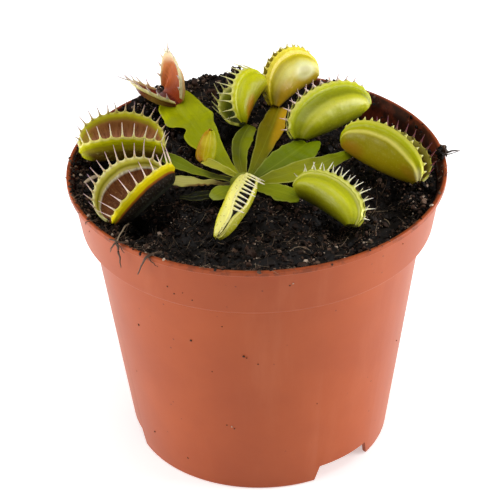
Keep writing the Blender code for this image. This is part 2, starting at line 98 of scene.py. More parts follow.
def wander(points, size, seed):
    """Smooth noise about -1 to 1 at each point, its waves about size mm long."""
    rng = np.random.default_rng(seed)
    waves = unit(rng.normal(size=(WAVES, 3))) * (FULL_TURN / size) * rng.uniform(0.6, 1.6, (WAVES, 1))
    phases = rng.uniform(0, FULL_TURN, WAVES)
    return np.sin(points @ waves.T + phases).sum(-1) / 4.0


def polar(radius, turn, z):
    """Points by their distance from the upright axis, angle from +X and height."""
    return np.stack(np.broadcast_arrays(radius * np.cos(turn), radius * np.sin(turn), z), axis=-1)


def on_wall(azimuth, radius, z):
    """A point by its azimuth from the front toward +X (deg), radius and height (mm)."""
    a = math.radians(azimuth)
    return vec(radius * math.sin(a), -radius * math.cos(a), z)


def ring_faces(rows, columns):
    """Quads between rows of points, each row a closed ring."""
    sides = [(c, (c + 1) % columns) for c in range(columns)]
    starts = range(0, (rows - 1) * columns, columns)
    return [(r + c, r + d, r + columns + d, r + columns + c) for r in starts for c, d in sides]


class Build:
    """Collects vertices (mm), faces and point values, and turns them into one mesh object."""

    def __init__(self):
        self.points, self.faces, self.values, self.count = [], [], {}, 0

    def add(self, points, faces, **values):
        points = points.reshape(-1, 3)
        start = self.count
        self.points.append(points)
        self.faces += [tuple(int(i) + start for i in f) for f in faces]
        for name in set(self.values) | set(values):
            row = self.values.setdefault(name, [np.zeros(start)] if start else [])
            row.append(np.broadcast_to(np.ravel(values.get(name, 0.0)), (len(points),)))
        self.count += len(points)

    def mesh(self, name, material, smooth=True):
        mesh = bpy.data.meshes.new(name)
        mesh.from_pydata((np.concatenate(self.points) * MM).tolist(), [], self.faces)
        for key, rows in self.values.items():
            attribute = mesh.attributes.new(key, "FLOAT", "POINT")
            attribute.data.foreach_set("value", np.concatenate(rows).astype(np.float32))
        mesh.materials.append(material)
        if smooth:
            mesh.shade_smooth()
        mesh.validate()
        return show(name, mesh)


def show(name, data):
    """A new object in the scene."""
    obj = bpy.data.objects.new(name, data)
    bpy.context.scene.collection.objects.link(obj)
    return obj


def face_out(obj, weld=False):
    """Turns the faces outward, if asked after joining the points that fall together, such as poles."""
    bm = bmesh.new()
    bm.from_mesh(obj.data)
    if weld:
        bmesh.ops.remove_doubles(bm, verts=bm.verts, dist=WELD_REACH)
    bmesh.ops.recalc_face_normals(bm, faces=bm.faces)
    bm.to_mesh(obj.data)
    bm.free()
    return obj


def place(obj, slot, *nodes):
    """Hands a finished piece to the frame."""
    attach(obj, "root")
    if nodes:
        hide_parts(*nodes)


# ---------------------------------------------------------------- materials
def linear(colour):
    share = np.array(colour) / 255.0
    return tuple(np.where(share < 0.04045, share / 12.92, ((share + 0.055) / 1.055) ** 2.4))


class Shader:
    """A Principled material with short calls for the nodes that vary over the surface."""

    def __init__(self, name, **sockets):
        self.material = bpy.data.materials.new(name)
        self.material.use_nodes = True
        self.tree = self.material.node_tree
        self.bsdf = self.tree.nodes["Principled BSDF"]
        self.set(**sockets)

    def put(self, socket, value):
        if isinstance(value, bpy.types.NodeSocket):
            self.tree.links.new(value, socket)
        elif isinstance(value, tuple) and len(value) == 3 and socket.type == "RGBA":
            socket.default_value = (*linear(value), 1.0)
        else:
            socket.default_value = value

    def set(self, **sockets):
        for key, value in sockets.items():
            self.put(self.bsdf.inputs[key.replace("_", " ").title().replace("Ior", "IOR")], value)

    def node(self, kind, inputs, **props):
        node = self.tree.nodes.new("ShaderNode" + kind)
        for key, value in props.items():
            setattr(node, key, value)
        for key, value in inputs.items():
            self.put(node.inputs[key], value)
        return node

    def here(self):
        return self.node("TexCoord", {}).outputs["Object"]

    def attribute(self, name):
        return self.node("Attribute", {}, attribute_name=name).outputs["Fac"]

    def math(self, operation, a, b=0.0, c=0.0):
        return self.node("Math", {0: a, 1: b, 2: c}, operation=operation).outputs[0]

    def times(self, a, b):
        return self.math("MULTIPLY", a, b)

    def add(self, a, b):
        return self.math("ADD", a, b)

    def take(self, a, b):
        return self.math("SUBTRACT", a, b)

    def noise(self, scale, detail=3.0, roughness=0.5, vector=None):
        inputs = {"Vector": vector or self.here(), "Scale": scale, "Detail": detail, "Roughness": roughness}
        return self.node("TexNoise", inputs).outputs["Fac"]

    def bands(self, s, t, detail, roughness):
        """Noise drawn out into bands by the two stretches (value, waves)."""
        stretch = self.node("CombineXYZ", {0: self.times(*s), 1: self.times(*t)}).outputs[0]
        return self.noise(1.0, detail, roughness, stretch)

    def cells(self, scale):
        return self.node("TexVoronoi", {"Vector": self.here(), "Scale": scale}).outputs["Distance"]

    def rise(self, value, low, high):
        """0 below low, 1 above high, smooth between."""
        inputs = {"Value": value, "From Min": low, "From Max": high}
        return self.node("MapRange", inputs, interpolation_type="SMOOTHSTEP").outputs[0]

    def blot(self, s, t, at_s, at_t, size, spread):
        """1 at a place on the skin, falling to 0 at size along it and at size times spread across it."""
        ds = self.math("DIVIDE", self.take(s, at_s), size)
        dt = self.math("DIVIDE", self.take(t, at_t), size * spread)
        return self.rise(self.add(self.times(ds, ds), self.times(dt, dt)), 1.0, 0.0)

    def ramp(self, value, stops, smooth=True):
        """The colour at a value between the stops (value, red, green, blue)."""
        node = self.node("ValToRGB", {0: value})
        ramp = node.color_ramp
        ramp.interpolation = "EASE" if smooth else "LINEAR"
        while len(ramp.elements) < len(stops):
            ramp.elements.new(0.5)
        for element, (position, *colour) in zip(ramp.elements, stops):
            element.position = position
            element.color = (*linear(colour), 1.0)
        return node.outputs["Color"]

    def mix(self, factor, a, b):
        node = self.node("Mix", {}, data_type="RGBA")
        for index, value in ((0, factor), (6, a), (7, b)):
            self.put(node.inputs[index], value)
        return node.outputs[2]

    def tint(self, base, colour, where, amount):
        """The base turned toward the colour by the amount, as far as where says."""
        return self.mix(self.times(where, amount), base, colour)

    def bump(self, height, strength, depth):
        node = self.node("Bump", {"Height": height, "Strength": strength, "Distance": depth * MM})
        self.set(normal=node.outputs["Normal"])


def trap_material(name, look):
    """Skin of a trap: outside, inside, rim band and teeth, told apart by the mesh's point values."""
    sh = Shader(name, roughness=look["rough"], specular_ior_level=look["shine"], subsurface_weight=0.12,
                subsurface_scale=0.001, subsurface_radius=(1.0, 0.8, 0.1))
    s, t, lobe, inner, tooth = (sh.attribute(key) for key in ("along", "across", "lobe", "inner", "tooth"))

    def shades(key, value):
        """Each lobe's own shades, or one set for both."""
        return sh.mix(lobe, sh.ramp(value, look[key]), sh.ramp(value, look.get(key + "_b", look[key])))
    wobble = sh.math("MULTIPLY_ADD", sh.noise(260.0, 2.0), 0.05, sh.take(t, 0.025))
    skins = {"out": shades("outside", wobble), "in": shades("inside", wobble)}
    streaks = sh.rise(sh.bands((s, 17.0), (t, 1.6), 3.0, 0.6), 0.42, 0.66)
    flecks = sh.rise(sh.noise(1900.0, 3.0, 0.7), 0.52, 0.68)
    marks = [
        ("in", look["streak_colour"], sh.times(streaks, sh.rise(t, 0.82, 0.72)), look["streak"]),
        ("in", look["fleck_colour"], flecks, 0.35),
        ("out", look["grain_colour"], sh.times(flecks, sh.rise(t, 0.8, 0.7)), look["grain"]),
        ("out", look["dot_colour"], sh.rise(sh.cells(1500.0), 0.34, 0.12), look["dots"]),
        ("out", look["patch"], sh.rise(sh.noise(130.0, 4.0, 0.6), 0.35, 0.75), 0.2),
    ]
    for *spot, colour, amount, face in look["blushes_and_painted_light"]:
        marks.append((face, colour, sh.blot(s, t, *spot, 0.6), amount))
    for face, *mark in marks:
        skins[face] = sh.tint(skins[face], *mark)
    skin = sh.mix(inner, skins["out"], skins["in"])
    sh.set(base_color=sh.mix(sh.rise(tooth, 0.0, 0.06), skin, shades("teeth", tooth)))
    sh.bump(sh.noise(900.0, 3.0, 0.6), 0.25, 0.12)
    return sh.material


def blade_material(name, look):
    """Skin of a leaf blade: shade along it, paler midrib and edge, mottling."""
    sh = Shader(name, roughness=0.45, specular_ior_level=0.1, subsurface_weight=0.1, subsurface_scale=0.001,
                subsurface_radius=(1.0, 0.9, 0.1))
    s, t = sh.attribute("along"), sh.attribute("across")
    base = sh.ramp(sh.math("MULTIPLY_ADD", sh.noise(160.0, 3.0), 0.25, sh.take(s, 0.12)), look["along"])
    width = sh.math("ABSOLUTE", t)
    veins = sh.bands((t, 11.0), (s, 2.2), 2.0, 0.5)
    marks = [
        (look["edge_colour"], sh.rise(width, 0.86, 1.0), look["edge"]),
        ((176, 186, 60), sh.rise(width, 0.09, 0.0), 0.2),
        (look["vein"], sh.rise(veins, 0.45, 0.7), look["veins"]),
        (look["spot_colour"], sh.rise(sh.noise(420.0, 4.0, 0.7), 0.62, 0.78), look["spots"]),
    ]
    marks += [(colour, sh.blot(s, t, *spot, 2.0), amount) for *spot, colour, amount in look["blushes_and_painted_light"]]
    for mark in marks:
        base = sh.tint(base, *mark)
    sh.set(base_color=base)
    sh.bump(sh.add(veins, sh.noise(700.0, 3.0, 0.6)), 0.3, 0.12)
    return sh.material


LIP_SHADE_Z = (0.0704, 0.0709)     # height of the lip band darkened in blotches as painted shade, m


def pot_material():
    """Moulded terracotta-coloured plastic with dust, specks and faint run marks, and painted shade inside
    and on the lip.
    """
    sh = Shader("pot_plastic_look", roughness=0.4, specular_ior_level=0.2)
    here = sh.here()
    runs = sh.node("Mapping", {"Vector": here, "Scale": (1.0, 1.0, 0.12)}).outputs[0]
    specks = sh.times(sh.rise(sh.cells(330.0), 0.10, 0.05), sh.rise(sh.noise(70.0, 2.0), 0.56, 0.62))
    inner = sh.attribute("inner")
    height = sh.node("SeparateXYZ", {"Vector": here}).outputs["Z"]
    on_shaded_lip = sh.rise(height, *LIP_SHADE_Z)
    base = sh.ramp(sh.noise(38.0, 4.0, 0.6), [(0.25, 155, 70, 32), (0.75, 167, 79, 37)])
    for mark in (
        ((214, 140, 104), sh.rise(sh.noise(90.0, 5.0, 0.65, runs), 0.5, 0.8), 0.10),
        ((92, 40, 28), specks, 0.75),
        # painted shade: the whole inside of the wall darkened to a deep red-brown
        ((104, 44, 28), inner, 0.9),
        ((34, 24, 19), sh.times(inner, sh.rise(sh.noise(160.0, 5.0, 0.7), 0.36, 0.54)), 0.85),
        # painted shade: blotches along the lip darkened where it falls in shade
        ((92, 44, 26), sh.times(on_shaded_lip, sh.rise(sh.noise(420.0, 4.0, 0.7), 0.46, 0.62)), 0.5),
    ):
        base = sh.tint(base, *mark)
    sh.set(base_color=base)
    sh.bump(sh.add(sh.noise(1400.0, 2.0), sh.times(specks, 2.0)), 0.12, 0.08)
    return sh.material


def tone_material(name, stops, rough, shine=0.3):
    """A dull, grainy stuff whose shade follows each grain's tone."""
    sh = Shader(name, roughness=rough, specular_ior_level=shine)
    fine = sh.math("MULTIPLY_ADD", sh.noise(900.0, 4.0, 0.7), 0.3, sh.take(sh.attribute("tone"), 0.15))
    sh.set(base_color=sh.ramp(fine, stops, smooth=False))
    sh.bump(sh.noise(1800.0, 4.0, 0.7), 0.6, 0.15)
    return sh.material


# ---------------------------------------------------------------- shapes
def tube(build, path, radii, sides=8, broad=1.0, reference=(0.0, 0.0, 1.0), **values):
    """A closed tapering tube along a path; broad stretches it across the reference direction."""
    ahead = unit(np.gradient(path, axis=0))
    across = unit(np.cross(ahead, np.array(reference) + 1e-6))
    over = np.cross(across, ahead)
    angles = np.linspace(0, FULL_TURN, sides, endpoint=False)[:, None]
    broad = np.broadcast_to(broad, len(path))[:, None, None]
    ring = np.cos(angles) * across[:, None] * broad + np.sin(angles) * over[:, None]
    points = path[:, None] + ring * radii[:, None, None]
    last = (len(path) - 1) * sides
    faces = ring_faces(len(path), sides) + [range(sides)[::-1], range(last, last + sides)]
    spread = {key: np.repeat(value, sides) if np.ndim(value) else value for key, value in values.items()}
    build.add(points, faces, **spread)


def bezier(points, t):
    """A quadratic curve through three points."""
    a, b, c = points
    ctrl = b * 2 - (a + c) / 2
    return a * (1 - t) ** 2 + ctrl * (2 * t * (1 - t)) + c * t * t


def sheet(build, upper, lower, right, left, **values):
    """A closed shell from two sheets (rows x columns) and the rounded edges (rows x k) between them.

    Both edges lead from the upper sheet round to the lower one. Each value is given for the upper sheet,
    the right edge, the lower sheet and the left edge.
    """
    rows, columns = upper.shape[:2]
    k = right.shape[1]
    rings = np.concatenate([upper, right, lower[:, ::-1], left[:, ::-1]], axis=1)
    size = rings.shape[1]
    last = 2 * columns + k - 1
    faces = ring_faces(rows, size)
    for row, flip in ((0, 1), ((rows - 1) * size, -1)):
        ends = [(c, c + 1, last - c - 1, last - c) for c in range(columns - 1)]
        ends += [range(columns - 1, columns + k + 1), range(last, last + k + 2)]
        faces += [[row + c % size for c in end][::flip] for end in ends]

    def ringed(value):
        strips = [np.broadcast_to(part, (rows, wide)) for part, wide in zip(value, (columns, k) * 2)]
        strips[2] = strips[2][:, ::-1]
        return np.concatenate(strips, axis=1)
    build.add(rings, faces, **{key: ringed(value) for key, value in values.items()})


def turned(name, material, points, **values):
    """An object skinned over rings of points (rows x columns), its ends drawn to a point."""
    build = Build()
    build.add(points, ring_faces(*points.shape[:2]), **values)
    return face_out(build.mesh(name, material), weld=True)


def seat(build, node, parts=None):
    """Moves all the points so that the middle of the first parts is the middle of their CAD node."""
    low, high = (np.array(corner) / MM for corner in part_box(node))
    points, held = np.concatenate(build.points), np.concatenate(build.points[:parts])
    build.points = [points + (low + high) / 2 - (held.min(0) + held.max(0)) / 2]


# ---------------------------------------------------------------- traps
# how far a lobe stands out, by share of its width
SECTIONS = {
    "open": ((0, 0), (0.06, 0.25), (0.14, 0.5), (0.3, 0.85), (0.5, 1), (0.68, 0.86), (0.8, 0.58),
        (0.9, 0.42), (1, 0.36)),
    "ridged": ((0, 0), (0.06, 0.4), (0.14, 0.66), (0.3, 0.9), (0.48, 1), (0.58, 0.93), (0.66, 0.68),
        (0.76, 0.36), (0.88, 0.19), (1, 0.16)),
    "cupped": ((0, 0), (0.06, 0.42), (0.14, 0.66), (0.3, 0.88), (0.5, 0.98), (0.66, 1), (0.75, 0.92),
        (0.81, 0.66), (0.9, 0.5), (1, 0.46)),
    "gaping": ((0, 0), (0.06, 0.42), (0.14, 0.7), (0.3, 0.96), (0.5, 1), (0.68, 0.8), (0.8, 0.54),
        (0.9, 0.4), (1, 0.32)),
    "bud": ((0, 0), (0.14, 0.5), (0.3, 0.85), (0.5, 1), (0.8, 0.72), (1, 0.14)),
}
LOBE_SWEEP = math.radians(104.0)
RIM_ARC_SHARE = 0.70
END_FLATTEN = 0.72
END_POWER = 2.6
TAPER_POWER = 1.5
LOBE_T = 0.55         # mm, times the thickness below
LOBE_PLAIN = 0.85
# rim band, the groove under it and the midrib: change of thickness, middle and width as shares of the lobe
LOBE_RIDGES = ((0.30, 0.91, 0.045), (-0.22, 0.81, 0.035), (0.5, 0.0, 0.05))
VEINS = 26
TRAP_ROWS = 105
LOBE_COLUMNS = 27
BARE_END = 0.93       # share of the rim, either way from its middle, that bears teeth
GLAND = 0.13
# shades: a share of the lobe's width from midrib to rim, of a tooth or of a blade's length, and the colour
# there; blushes_and_painted_light: place along and across, size, colour, amount and, on a trap, the face
PALE_TEETH = [(0, 214, 204, 90), (0.25, 238, 226, 180), (1, 226, 200, 196)]
ROSY_TEETH = [(0, 222, 200, 110), (0.25, 240, 216, 200), (1, 212, 172, 182)]
# what an entry leaves unsaid; plain names of shades are for the left lobe, the _b names for the other
PLAIN_TRAP = dict(
    slot="trap_green", taper=0, shut=0, toothed=1, scallop=(0.36, 0.36), trend=0, bars=1, rough=0.34,
    shine=0.3, streak=0.4, streak_colour=(96, 48, 34), fleck_colour=(186, 140, 90), grain=0.12,
    grain_colour=(226, 224, 120), dots=0.12, dot_colour=(96, 92, 30), patch=(160, 162, 8), blushes_and_painted_light=())

TRAPS = {
    "left_upper": dict(neck=(-23.5, 4.5, 74), tip=(-40, 3.5, 74.5), mouth=(0, 0.05, 1), rim=1.2, width=9.5,
        arch=0, lean=(33, 35), bulge=4.2, section="open", count=(11, 14), tooth=3.2, curl=12,
        # left_upper: the near lobe's dark browns below its rim band are painted shade on its underside
        outside=[(0, 50, 34, 8), (0.68, 74, 54, 8), (0.79, 130, 118, 4), (0.86, 184, 182, 4),
            (0.95, 192, 188, 8), (1, 236, 226, 130)],
        outside_b=[(0, 110, 110, 30), (0.8, 160, 165, 40), (1, 214, 208, 110)],
        inside=[(0, 96, 56, 44), (0.8, 150, 104, 76), (0.97, 214, 204, 90)],
        inside_b=[(0, 116, 64, 40), (0.45, 182, 124, 86), (0.8, 176, 126, 70), (0.87, 176, 160, 40),
            (0.94, 196, 192, 30), (1, 218, 210, 100)], teeth=PALE_TEETH,
        teeth_b=[(0, 196, 188, 70), (0.25, 206, 182, 150), (1, 156, 122, 142)], streak=0.7,
        streak_colour=(118, 66, 46), shine=0.06, patch=(84, 62, 12),
        blushes_and_painted_light=[(1, 0.6, 0.5, (178, 180, 20), 0.85, "out"), (0.75, 0.7, 0.3, (182, 180, 40), 0.5, "in")]),
    "left_lower": dict(neck=(-21, -11, 76), tip=(-32.5, -22, 71.5), mouth=(-0.41, 0.03, 0.91), rim=1.17,
        width=10.4, arch=0, lean=(38, 37), bulge=4.2, section="open", count=(11, 14), tooth=4.2, curl=12,
        # left_lower: the near lobe's dark grey-green and brown-black outside below its rim band is partly
        # its own blackened colour, partly painted shade
        outside=[(0, 14, 15, 12), (0.3, 36, 38, 32), (0.5, 44, 46, 38), (0.62, 22, 16, 12),
            (0.75, 34, 22, 13), (0.79, 150, 84, 12), (0.83, 208, 188, 0), (0.97, 230, 212, 10),
            (1, 240, 226, 110)], outside_b=[(0, 90, 96, 40), (0.8, 150, 150, 60), (1, 220, 214, 140)],
        inside=[(0, 80, 40, 30), (0.8, 116, 72, 50), (0.97, 220, 206, 60)],
        # the near-white stop at 0.76 on the far lobe's inside is a painted highlight along its ridge
        inside_b=[(0, 84, 42, 22), (0.71, 130, 80, 46), (0.76, 250, 246, 214), (0.8, 222, 214, 110),
            (0.86, 150, 146, 26), (0.93, 204, 196, 70), (1, 246, 238, 170)], teeth=ROSY_TEETH, streak=0.6,
        streak_colour=(66, 32, 18), rough=0.55, shine=0.05, grain=0.5, grain_colour=(84, 84, 74),
        # the brown-black blot toward the tip and the dark mottling on the outside are partly the lobe's
        # blackened colour, partly painted shade
        patch=(30, 22, 12), blushes_and_painted_light=[(0.85, 0.45, 0.5, (16, 12, 9), 0.85, "out")]),
    "rear_left": dict(neck=(-19.2, 22.5, 77), tip=(-23.4, 31.5, 75.2), mouth=(-0.48, 0, 0.88), rim=1.15,
        width=11.5, arch=0.5, lean=(27, 27), bulge=2.6, section="open", count=(10, 9), tooth=(2.1, 1.3),
        curl=-4, tip_tooth=3.6, scallop=(0.3, 0.12), slot="trap_red",
        # rear_left: the dark maroon of the lobe's outside up to 0.84 is painted shade
        outside=[(0, 76, 36, 24), (0.84, 110, 58, 38), (0.92, 206, 190, 110), (1, 236, 226, 170)],
        outside_b=[(0, 196, 128, 74), (0.7, 226, 176, 116), (1, 240, 226, 180)],
        inside=[(0, 106, 38, 26), (0.8, 124, 54, 40), (0.96, 226, 210, 150)],
        inside_b=[(0, 180, 78, 36), (0.5, 208, 112, 58), (0.85, 224, 146, 88), (1, 244, 224, 170)],
        teeth=[(0, 232, 222, 180), (0.3, 236, 216, 206), (1, 206, 172, 190)], streak=0.35,
        streak_colour=(130, 46, 26), shine=0.1, fleck_colour=(206, 116, 70),
        blushes_and_painted_light=[(0.1, 1, 0.5, (244, 220, 180), 0.7, "in")]),
    "rear_centre": dict(neck=(-2.5, 12.5, 76.5), tip=(2.5, 24.5, 80), mouth=(-0.82, 0, 0.57), rim=1.1,
        width=8.5, arch=0.5, lean=(30, 18), bulge=2.6, section="open", count=(11, 12), tooth=3.2, curl=28,
        outside=[(0, 80, 92, 8), (0.8, 140, 150, 14), (1, 206, 204, 90)],
        outside_b=[(0, 150, 130, 6), (0.3, 178, 176, 2), (0.8, 196, 198, 4), (0.94, 206, 204, 30),
            (1, 232, 226, 120)],
        inside=[(0, 36, 44, 4), (0.6, 66, 78, 6), (0.9, 128, 134, 20), (1, 204, 200, 100)],
        teeth=[(0, 206, 204, 90), (0.3, 226, 220, 150), (1, 214, 206, 160)], streak=0.3,
        streak_colour=(40, 50, 4), blushes_and_painted_light=[(-0.5, 0.25, 0.55, (206, 124, 12), 0.75, "out")]),
    "rear_top": dict(neck=(5.5, 25.2, 73.7), tip=(15.1, 35.4, 75.5), mouth=(-0.36, 0.18, 0.92), rim=1.23,
        width=11, arch=0.5, lean=(1, 1), bulge=3, section="ridged", count=(12, 16), tooth=(1, 0.9), curl=20,
        scallop=(0.15, 0.25), slot="trap_yellow",
        outside=[(0, 110, 80, 10), (0.5, 180, 156, 20), (1, 222, 204, 60)],
        # rear_top: the pale stop at 0.58 is a painted highlight on the ridge
        outside_b=[(0, 110, 80, 10), (0.22, 160, 130, 16), (0.45, 196, 180, 56), (0.58, 228, 220, 130),
            (0.66, 214, 202, 80), (0.74, 184, 168, 10), (0.88, 226, 206, 30), (1, 236, 218, 70)],
        inside=[(0, 96, 70, 14), (1, 200, 184, 60)], teeth=[(0, 216, 198, 50), (1, 240, 228, 170)],
        patch=(190, 170, 20),
        # the pale blot is a painted highlight ring on the outside; the smaller olive blot inside it keeps
        # its middle darker
        blushes_and_painted_light=[(0.3, 0.42, 0.46, (214, 214, 160), 0.85, "out"),
            (0.25, 0.42, 0.26, (160, 148, 50), 0.6, "out"), (-0.75, 0.4, 0.6, (176, 136, 10), 0.8, "out")]),
    "right_rear": dict(neck=(11.5, 6.5, 75.2), tip=(25, 16.5, 75.9), mouth=(-0.3, 0.42, 0.86), rim=1.42,
        width=9.8, arch=-0.4, lean=(0, 0), bulge=4.1, section="ridged", count=(14, 14), tooth=(2.4, 1.6),
        curl=24, trend=-0.6, outside=[(0, 90, 100, 10), (1, 200, 200, 90)],
        # right_rear: the pale stops at 0.5 and 0.58 are a painted highlight along the ridge
        outside_b=[(0, 84, 82, 4), (0.2, 134, 136, 4), (0.38, 172, 174, 14), (0.5, 200, 198, 76),
            (0.58, 182, 182, 34), (0.67, 136, 140, 2), (0.82, 154, 160, 2), (0.92, 188, 192, 24),
            (1, 216, 212, 90)], inside=[(0, 80, 60, 20), (1, 180, 180, 80)], teeth=ROSY_TEETH),
    "right": dict(neck=(21.5, 2.5, 74.5), tip=(36.6, -9.7, 72.5), mouth=(0.37, 0.34, 0.86), rim=1.18,
        width=9.9, arch=-0.7, lean=(25, 9), bulge=3.3, section="cupped", count=(13, 16), tooth=(2.3, 0.7),
        curl=8, scallop=(0.36, 0.1), outside=[(0, 70, 60, 10), (1, 150, 146, 40)],
        # right: the pale stop at 0.74 is a painted highlight line along the ridge
        outside_b=[(0, 140, 114, 4), (0.2, 164, 142, 6), (0.5, 160, 144, 2), (0.69, 154, 142, 2),
            (0.74, 218, 208, 96), (0.79, 174, 172, 6), (0.9, 184, 188, 10), (1, 212, 208, 80)],
        inside=[(0, 66, 50, 14), (0.8, 108, 90, 26), (1, 150, 144, 50)],
        teeth=[(0, 132, 122, 50), (0.3, 140, 84, 96), (1, 118, 62, 86)],
        teeth_b=[(0, 206, 202, 90), (1, 232, 222, 170)], shine=0.15,
        blushes_and_painted_light=[(-0.7, 0.3, 0.55, (170, 108, 26), 0.6, "out"), (0.8, 0.5, 0.4, (170, 116, 30), 0.5, "out"),
            (1, 0.8, 0.35, (240, 226, 170), 0.6, "out")]),
    "right_front": dict(neck=(9.8, -17, 74.5), tip=(20.4, -27, 72.5), mouth=(0.55, 0.44, 0.71), rim=1.32,
        width=8, arch=0.3, lean=(0, 0), bulge=3.7, section="ridged", count=(12, 13), tooth=(2.2, 2.7),
        curl=4, outside=[(0, 80, 90, 8), (1, 196, 196, 70)],
        # right_front: the pale stops at 0.5, 0.87 and 0.95 are painted highlights along the ridge and the
        # rim band
        outside_b=[(0, 86, 78, 2), (0.15, 136, 134, 4), (0.34, 174, 176, 8), (0.5, 204, 206, 44),
            (0.6, 192, 194, 24), (0.68, 166, 170, 8), (0.8, 182, 184, 14), (0.87, 224, 222, 110),
            (0.91, 178, 182, 20), (0.95, 224, 222, 110), (1, 206, 206, 70)],
        inside=[(0, 80, 60, 20), (1, 180, 180, 80)],
        teeth=[(0, 216, 214, 90), (0.2, 238, 234, 190), (1, 240, 230, 214)], dots=0.1),
    "front": dict(neck=(-2, -16.9, 79), tip=(-9.3, -31.7, 72.5), mouth=(0.42, -0.47, 0.78), rim=0.95,
        width=6.3, arch=0.5, lean=(5, 5), bulge=2.7, taper=0.42, section="gaping", count=(0, 18),
        tooth=(0.9, 2.7), curl=80, trend=-0.6, toothed=0.22, bars=1.5, scallop=(0.1, 0.1), shut=1,
        outside=[(0, 120, 120, 4), (0.6, 172, 168, 24), (0.85, 200, 194, 60), (1, 236, 228, 130)],
        # front: the pale stop at 0.7 on the left lobe is a painted highlight strip
        outside_b=[(0, 150, 150, 4), (0.35, 188, 184, 10), (0.52, 216, 208, 50), (0.7, 252, 244, 134),
            (0.92, 248, 238, 140), (1, 252, 244, 170)],
        # the near-black inside is painted shade within the nearly shut trap
        inside=[(0, 18, 12, 6), (0.7, 44, 32, 10), (1, 190, 186, 70)],
        teeth=[(0, 240, 232, 130), (0.3, 250, 240, 190), (1, 250, 236, 214)], dots=0.45,
        dot_colour=(136, 104, 30), grain=0.3, grain_colour=(255, 252, 190),
        blushes_and_painted_light=[(0.7, 1, 0.45, (222, 212, 100), 1, "in")]),
    "young": dict(neck=(-12.4, -1.6, 74.6), tip=(-10.7, 2.8, 80.2), mouth=(0, 0.75, -0.65), rim=1,
        width=3.3, arch=0, lean=(8, 8), bulge=2.1, taper=0.62, section="bud", count=(0, 0), tooth=0, curl=0,
        slot="bud_amber", outside=[(0, 192, 176, 14), (0.25, 180, 178, 8), (1, 148, 154, 4)],
        outside_b=[(0, 190, 166, 14), (0.3, 178, 132, 12), (1, 150, 92, 12)],
        inside=[(0, 150, 110, 10), (1, 200, 180, 50)],
        blushes_and_painted_light=[(-1, 0.3, 0.5, (176, 92, 16), 0.5, "out"), (0.3, 0.1, 0.5, (220, 206, 60), 0.5, "out")],
        teeth=PALE_TEETH, shine=0.12),
}


def trap_frame(spec):
    """Centre, midrib, sideways and mouth axes of a trap."""
    neck, tip, mouth = (vec(*spec[key]) for key in ("neck", "tip", "mouth"))
    along = unit(tip - neck)
    mouth = unit(mouth - along * (mouth @ along))
    return (neck + tip) / 2, along, np.cross(along, mouth), mouth


def lobe_points(spec, s, v):
    """Inner surface of the trap: s runs along the midrib, v from one rim (-1) to the other (1)."""
    s, v = np.broadcast_arrays(s, v)
    centre, along, sideways, mouth = trap_frame(spec)
    half = np.linalg.norm(vec(*spec["tip"]) - vec(*spec["neck"])) / 2
    t, side = np.abs(v), np.where(v < 0, -1.0, 1.0)
    arc = RIM_ARC_SHARE * spec["width"]
    mid_q = spec["arch"] * (1 - s * s)
    rim_p = half * spec["rim"] * np.sin(s * LOBE_SWEEP)
    rim_q = spec["width"] - arc + arc * np.cos(s * LOBE_SWEEP)
    end = np.abs(s) ** END_POWER
    slim = 1 - spec["taper"] * ((s + 1) / 2) ** TAPER_POWER
    bulge = spline(SECTIONS[spec["section"]], t)
    bulge = bulge + (spline(SECTIONS["bud"], t) - bulge) * end
    p = half * s + (rim_p - half * s) * t
    q = (rim_q - mid_q) * t * slim
    out = spec["bulge"] * slim * (1 - END_FLATTEN * end) * bulge
    lean = np.radians(np.where(side < 0, *spec["lean"]))
    shut = spec["shut"] * smoothstep(0.0, 0.42, s) * smoothstep(0.55, 1.0, t)
    w = (q * np.sin(lean) + out * np.cos(lean)) * (1 - shut)
    m = q * np.cos(lean) - out * np.sin(lean) + mid_q
    return centre + p[..., None] * along + (side * w)[..., None] * sideways + m[..., None] * mouth


def rim_lengths(spec, side):
    """Places along one rim between its bare ends, and the share of its length up to each."""
    fine = np.linspace(-BARE_END, BARE_END, 400)
    steps = np.linalg.norm(np.diff(lobe_points(spec, fine, side), axis=0), axis=1)
    length = np.concatenate([[0.0], np.cumsum(steps)])
    return fine, length / length[-1]


def tooth_stations(spec, side, count):
    """Places along the rim where one lobe's teeth stand, evenly spaced by length."""
    fine, length = rim_lengths(spec, side)
    stations = [float(np.interp((k + 0.5) / count, length, fine)) for k in range(count)]
    return [s for s in stations if s < spec["toothed"]]


def web(spec, side, count, s):
    """1 at each tooth's root, falling to 0 halfway to the next: the scallops of the rim."""
    if not count:
        return np.zeros_like(s)
    share = np.interp(s, *rim_lengths(spec, side), left=0.0, right=1.0)
    return (0.5 + 0.5 * np.cos(FULL_TURN * (share * count - 0.5))) ** 1.4


